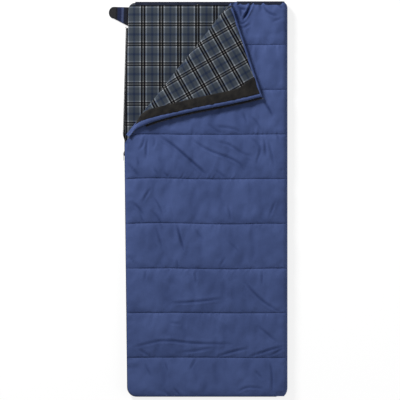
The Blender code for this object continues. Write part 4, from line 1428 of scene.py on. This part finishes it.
def edge_line(start_y, step):
    """Left side from a height down, the foot's corner and the foot, with the way out of the bag."""
    corner_y = FOOT_Y + FOOT_CORNER_R
    centre_x = float(straight_left(corner_y)) + FOOT_CORNER_R
    side_y = np.linspace(start_y, corner_y, math.ceil((start_y - corner_y) / step))
    side = stacked(straight_left(side_y), side_y)
    turn = np.linspace(0, math.pi / 2, math.ceil(FOOT_CORNER_R * math.pi / 2 / step) + 1)[1:]
    facing = stacked(-np.cos(turn), -np.sin(turn))
    corner = np.array((centre_x, corner_y)) + FOOT_CORNER_R * facing
    count = math.ceil((FOOT_CHAIN_END_X - centre_x) / step)
    foot_x = np.linspace(centre_x, FOOT_CHAIN_END_X, count)[1:]
    foot = stacked(foot_x, np.full(len(foot_x), FOOT_Y))
    line = np.concatenate((side, corner, foot))
    out = np.concatenate((
        np.broadcast_to((-1.0, 0.0), side.shape), facing, np.broadcast_to((0.0, -1.0), foot.shape)))
    return line, out


def flat_points(line, z):
    return np.concatenate((line, np.broadcast_to(z, len(line))[:, None]), axis=1)


def add_tape(name, foot, reach):
    """Woven tape from its sewn foot along its reach, with a slight wave."""
    normal = unit(np.cross(reach, np.gradient(foot, axis=0)))
    run = line_run(foot)
    wave = TAPE_WAVE * swell(run, 0.0, TAPE_WAVELENGTH, seed=61)
    share = np.array((0.0, 0.5, 1.0, 1.0, 0.5, 0.0))
    face = np.array((0.5, 0.5, 0.5, -0.5, -0.5, -0.5)) * TAPE_THICK
    points = foot[:, None, :] + reach[:, None, :] * (TAPE_WIDTH * share)[:, None]
    points = points + normal[:, None, :] * (face[None, :] + wave[:, None] * share)[..., None]
    uv = stacked(run[:, None], TAPE_WIDTH * share)
    return add_grid(name, points, "zip", uv, closed=True)


def add_coil(name, centre):
    """Coil of the zip: a thin tube, ribbed once for each turn."""
    along = unit(np.gradient(centre, axis=0))
    up = np.broadcast_to((0.0, 0.0, 1.0), along.shape)
    side = np.cross(along, up)
    run = line_run(centre)
    radius = COIL_R * (1 - COIL_RIB * (0.5 - 0.5 * np.cos(2 * math.pi * run / COIL_PITCH)))
    turn = np.linspace(0, 2 * math.pi, COIL_SIDES, endpoint=False)
    ring = side[:, None, :] * np.cos(turn)[:, None] + up[:, None, :] * np.sin(turn)[:, None]
    points = centre[:, None, :] + ring * radius[:, None, None]
    uv = stacked(run[:, None], turn[None, :] * COIL_R)
    return add_grid(name, points, "coil", uv, closed=True)


def dress_zip(tape, coil, body):
    for piece, node in ((tape, body + "_zip_tape"), (coil, body + "_zip_coil")):
        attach(piece, body)
        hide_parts(node)


def base_tape(step):
    """Foot and reach of the base's tape: upright where closed, flat and deeper in its seam above."""
    line, out = edge_line(TAPE_TOP_Y, step)
    lean = smooth((line[:, 1] - TWIST_START_Y) / (TWIST_END_Y - TWIST_START_Y)) * math.pi / 2
    reach = np.concatenate((out * np.sin(lean)[:, None], np.cos(lean)[:, None]), axis=1)
    sewn = mix(-TAPE_OUT, TAPE_WIDTH - OPEN_TAPE_WIDTH, lean / (math.pi / 2))
    return flat_points(line - out * sewn[:, None], BASE_TAPE_Z), reach


def make_zip():
    foot, reach = base_tape(TAPE_STEP)
    tape = add_tape("base_tape", foot, reach)
    fine_foot, fine_reach = base_tape(COIL_STEP)
    coil = add_coil("base_coil", fine_foot + fine_reach * (TAPE_WIDTH + SEW_GAP + COIL_R))
    dress_zip(tape, coil, "base")

    line, out = edge_line(TOP_CHAIN_END_Y, TAPE_STEP)
    foot = flat_points(line + out * TAPE_OUT, TOP_TAPE_Z)
    down = np.broadcast_to((0.0, 0.0, -1.0), foot.shape)
    tape = add_tape("top_tape", foot, down)
    line, out = edge_line(TOP_CHAIN_END_Y, COIL_STEP)
    coil = add_coil("top_coil", flat_points(line + out * TAPE_OUT, TOP_COIL_Z))
    dress_zip(tape, coil, "top")
    make_flap_zip()


def flap_edge_line(step):
    """Free zip edge of the corner as it lies turned back, with the way out of it."""
    rows = np.linspace(FLAP_ZIP_START_Y, FLAP_ZIP_END_Y, FINE_ROWS)
    start, _ = flap_frame(rows)
    middle = flap_middle(start[:, None, :], np.zeros((len(rows), 1)), rows)[:, 0]
    edge = half_turn(np.concatenate((start, middle[:, None]), axis=1))
    run = line_run(edge)
    line = along_line(edge, run, np.linspace(0, run[-1], math.ceil(run[-1] / step)))
    return line, unit(np.cross(np.gradient(line, axis=0), (0.0, 0.0, 1.0)))


def make_flap_zip():
    line, out = flap_edge_line(TAPE_STEP)
    sewn = TAPE_WIDTH - OPEN_TAPE_WIDTH
    tape = add_tape("flap_tape", line - out * sewn, out)
    fine, fine_out = flap_edge_line(COIL_STEP)
    coil = add_coil("flap_coil", fine + fine_out * (OPEN_TAPE_WIDTH + SEW_GAP + COIL_R))
    dress_zip(tape, coil, "flap")


# Stitches

STITCH_PITCH = 0.0042
STITCH_SHARE = 0.70
STITCH_R = 0.0004
STITCH_INSET = 0.004
SEAM_POINTS = 260
OCTAHEDRON = np.array((
    (0, 2, 3), (0, 3, 4), (0, 4, 5), (0, 5, 2), (1, 3, 2), (1, 4, 3), (1, 5, 4), (1, 2, 5)))


def add_stitches(name, lines, body, *nodes):
    """Thread that shows as short stitches along lines of points."""
    vertices = []
    for line in lines:
        run = line_run(line)
        starts = np.arange(0, run[-1] - STITCH_PITCH, STITCH_PITCH)
        first = along_line(line, run, starts)
        last = along_line(line, run, starts + STITCH_PITCH * STITCH_SHARE)
        along = unit(last - first)
        up = np.broadcast_to((0.0, 0.0, STITCH_R), along.shape)
        side = np.cross(along, up)
        middle = (first + last) / 2
        corners = (first, last, middle + up, middle + side, middle - up, middle - side)
        vertices.append(np.stack(corners, axis=1))
    stitches = np.concatenate(vertices)
    points = stitches.reshape(-1, 3)
    order = stitches.shape[1] * np.arange(len(stitches))
    faces = (order[:, None, None] + OCTAHEDRON).reshape(-1, 3)
    piece = add_mesh(name, points, faces, "thread", points[:, :2])
    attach(piece, body)
    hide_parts(*nodes)


def seam_line(line_y, left, height):
    x = np.linspace(float(left(line_y)) + STITCH_INSET, SIDE_START_X, SEAM_POINTS)
    y = np.full(SEAM_POINTS, line_y)
    return stacked(x, y, height(x, y))


def seam_threads(body, lines):
    return ["%s_seam_thread_%d" % (body, number + 1) for number in range(len(lines))]


def make_stitches():
    top_lines = [seam_line(y, top_left, top_outer_z) for y in SEAMS]
    for line in top_lines:
        line[:, 1] += seam_drift(line[:, 0], line[:, 1])
    base_lines = [seam_line(y, base_left, base_outer_z) for y in SEAMS]
    flap_lines = []
    for y in FLAP_SEAMS:
        row = np.array((y,))
        flap_lines.append(flap_side(*flap_grid(row), row, 1)[0])
    for body, lines in (("top", top_lines), ("base", base_lines), ("flap", flap_lines)):
        add_stitches(body + "_stitches", lines, body, *seam_threads(body, lines))


# Closing tab

TAB_PLACE = np.array(JOINTS["tab_wrap"]["pos_m"])
TAB_EDGE = np.array(JOINTS["tab_wrap"]["axis"])
TAB_OUTWARD = np.array((-TAB_EDGE[1], TAB_EDGE[0], 0.0))
TAB_THICK = 0.0024
TAB_HALF_WIDTH = 0.046
TAB_TIP_OUT = 0.070
TAB_TIP_ALONG = 0.017
TAB_TIP_R = 0.0290
TAB_TIP_FLATTEN = 0.85
TAB_UNDER = 0.006
TAB_PUCKER = 0.0006
TAB_PUCKER_WAVE = 0.025
TAB_ROWS = 26
TAB_TIP_ROWS = 15
TAB_TIP_LAST = 0.998
TAB_COLUMNS = 17
TAB_EDGE_POWER = 8
TAB_EDGE_LEAST = 0.04


def tab_reach(out):
    """Middle and half width of the tab at a distance out from the edge."""
    share = np.clip(out / TAB_TIP_OUT, 0, 1)
    past = np.clip((out - TAB_TIP_OUT) / (TAB_TIP_R * TAB_TIP_FLATTEN), 0, 1)
    half = mix(TAB_HALF_WIDTH, TAB_TIP_R, share) * np.sqrt(1 - past ** 2)
    return TAB_TIP_ALONG * share, half


def make_tab():
    end = TAB_TIP_OUT + TAB_TIP_R * TAB_TIP_FLATTEN
    turn = np.linspace(0, math.pi / 2, TAB_TIP_ROWS + 1)[1:]
    tip = TAB_TIP_OUT + (end - TAB_TIP_OUT) * np.sin(turn) * TAB_TIP_LAST
    out = np.concatenate((np.linspace(-TAB_UNDER, TAB_TIP_OUT, TAB_ROWS), tip))
    middle, half = tab_reach(out)
    across = np.concatenate((np.linspace(-1, 1, TAB_COLUMNS), np.linspace(1, -1, TAB_COLUMNS)))
    face = np.repeat((1.0, -1.0), TAB_COLUMNS) * TAB_THICK / 2
    edge_share = np.sqrt(np.clip(1 - np.abs(across) ** TAB_EDGE_POWER, TAB_EDGE_LEAST, 1))
    along = middle[:, None] + half[:, None] * across
    pucker = TAB_PUCKER * swell(out[:, None], along, TAB_PUCKER_WAVE, seed=81)
    height = face * edge_share + pucker
    points = (
        TAB_PLACE + out[:, None, None] * TAB_OUTWARD + along[..., None] * TAB_EDGE
        + height[..., None] * np.array((0.0, 0.0, 1.0)))
    uv = stacked(out[:, None], along)
    tab = add_grid("tab_cloth", points, "tab", uv, closed=True)
    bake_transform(tab)
    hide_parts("tab_root", "tab_tip")


# Solids that stay as they are: zip slider, puller and stops, and the two fastener patches
KEPT_SOLIDS = {
    "zip_slider": "metal", "zip_puller": "metal", "zip_bottom_stop": "metal",
    "base_top_stop": "metal", "flap_top_stop": "metal", "hook_patch": "hook", "loop_patch": "loop",
}


def dress_kept_solids():
    for node, material in KEPT_SOLIDS.items():
        solid = bpy.data.objects[node]
        solid.data.materials.clear()
        solid.data.materials.append(MATERIALS[material])


make_bag()
make_flap()
make_binding()
make_zip()
make_stitches()
make_tab()
dress_kept_solids()


# Camera, light and floor

CAMERA_HEIGHT = 15.0
VIEW_Z = 0.030
VIEW_END = 60.0
FLOOR_HALF = 14.0
FLOOR_Z = -0.0006
FLOOR_COLOUR = (0.92, 0.92, 0.92, 1.0)
FLOOR_GLOW = 1.10
FLOOR_GLOW_SHARE = 0.72
WORLD_LIGHT = 0.26
WORLD_SEEN = 1.0

# Lights above the bag: place, size and power
LIGHTS = {
    "key": ((-2.6, 3.7, 2.7), 1.6, 320.0),
    "fill": ((2.8, -1.6, 2.6), 3.0, 33.0),
}


def make_camera():
    data = bpy.data.cameras.new("camera")
    camera = add_object("camera", data)
    middle = photo_place((PHOTO_PIXELS / 2, PHOTO_PIXELS / 2))
    camera.location = (middle[0], middle[1], CAMERA_HEIGHT)
    data.sensor_fit = "HORIZONTAL"
    data.angle = 2 * math.atan(PIXEL * PHOTO_PIXELS / 2 / (CAMERA_HEIGHT - VIEW_Z))
    data.clip_end = VIEW_END
    bpy.context.scene.camera = camera


def add_area_light(name, place, size, power):
    data = bpy.data.lights.new(name, "AREA")
    data.shape = "DISK"
    data.size = size
    data.energy = power
    light = add_object(name, data)
    light.location = place
    light.rotation_euler = (-Vector(place)).to_track_quat("-Z", "Y").to_euler()


def seen_ray(material):
    """1 for rays that show the background: from the camera, in gloss or through glass."""
    path = add_node(material, "ShaderNodeLightPath").outputs
    both = math_node(material, "MAXIMUM", path["Is Camera Ray"], path["Is Glossy Ray"])
    return math_node(material, "MAXIMUM", both, path["Is Transmission Ray"])


def make_world():
    world = bpy.data.worlds.new("studio")
    bpy.context.scene.world = world
    world.use_nodes = True
    background = world.node_tree.nodes["Background"]
    background.inputs["Color"].default_value = (*WHITE, 1.0)
    strength = add_node(
        world, "ShaderNodeMapRange", {0: seen_ray(world), 3: WORLD_LIGHT, 4: WORLD_SEEN})
    world.node_tree.links.new(strength.outputs[0], background.inputs["Strength"])


def make_floor():
    mesh = bpy.data.meshes.new("floor")
    corners = [(FLOOR_HALF * x, FLOOR_HALF * y, 0) for x, y in ((-1, -1), (1, -1), (1, 1), (-1, 1))]
    mesh.from_pydata(corners, [], [(0, 1, 2, 3)])
    floor = add_object("floor", mesh)
    floor.location.z = FLOOR_Z
    material, shader = new_material("floor", roughness=0.9, specular=0.1)
    shader.inputs["Base Color"].default_value = FLOOR_COLOUR
    glow = add_node(material, "ShaderNodeEmission", {"Strength": FLOOR_GLOW})
    share = math_node(material, "MULTIPLY", seen_ray(material), FLOOR_GLOW_SHARE)
    blend = add_node(
        material, "ShaderNodeMixShader", {0: share, 1: shader.outputs[0], 2: glow.outputs[0]})
    output = material.node_tree.nodes["Material Output"]
    material.node_tree.links.new(blend.outputs[0], output.inputs["Surface"])
    mesh.materials.append(material)


make_camera()
make_world()
make_floor()
for light_name, light_values in LIGHTS.items():
    add_area_light(light_name, *light_values)
bpy.context.scene.view_settings.view_transform = "Standard"
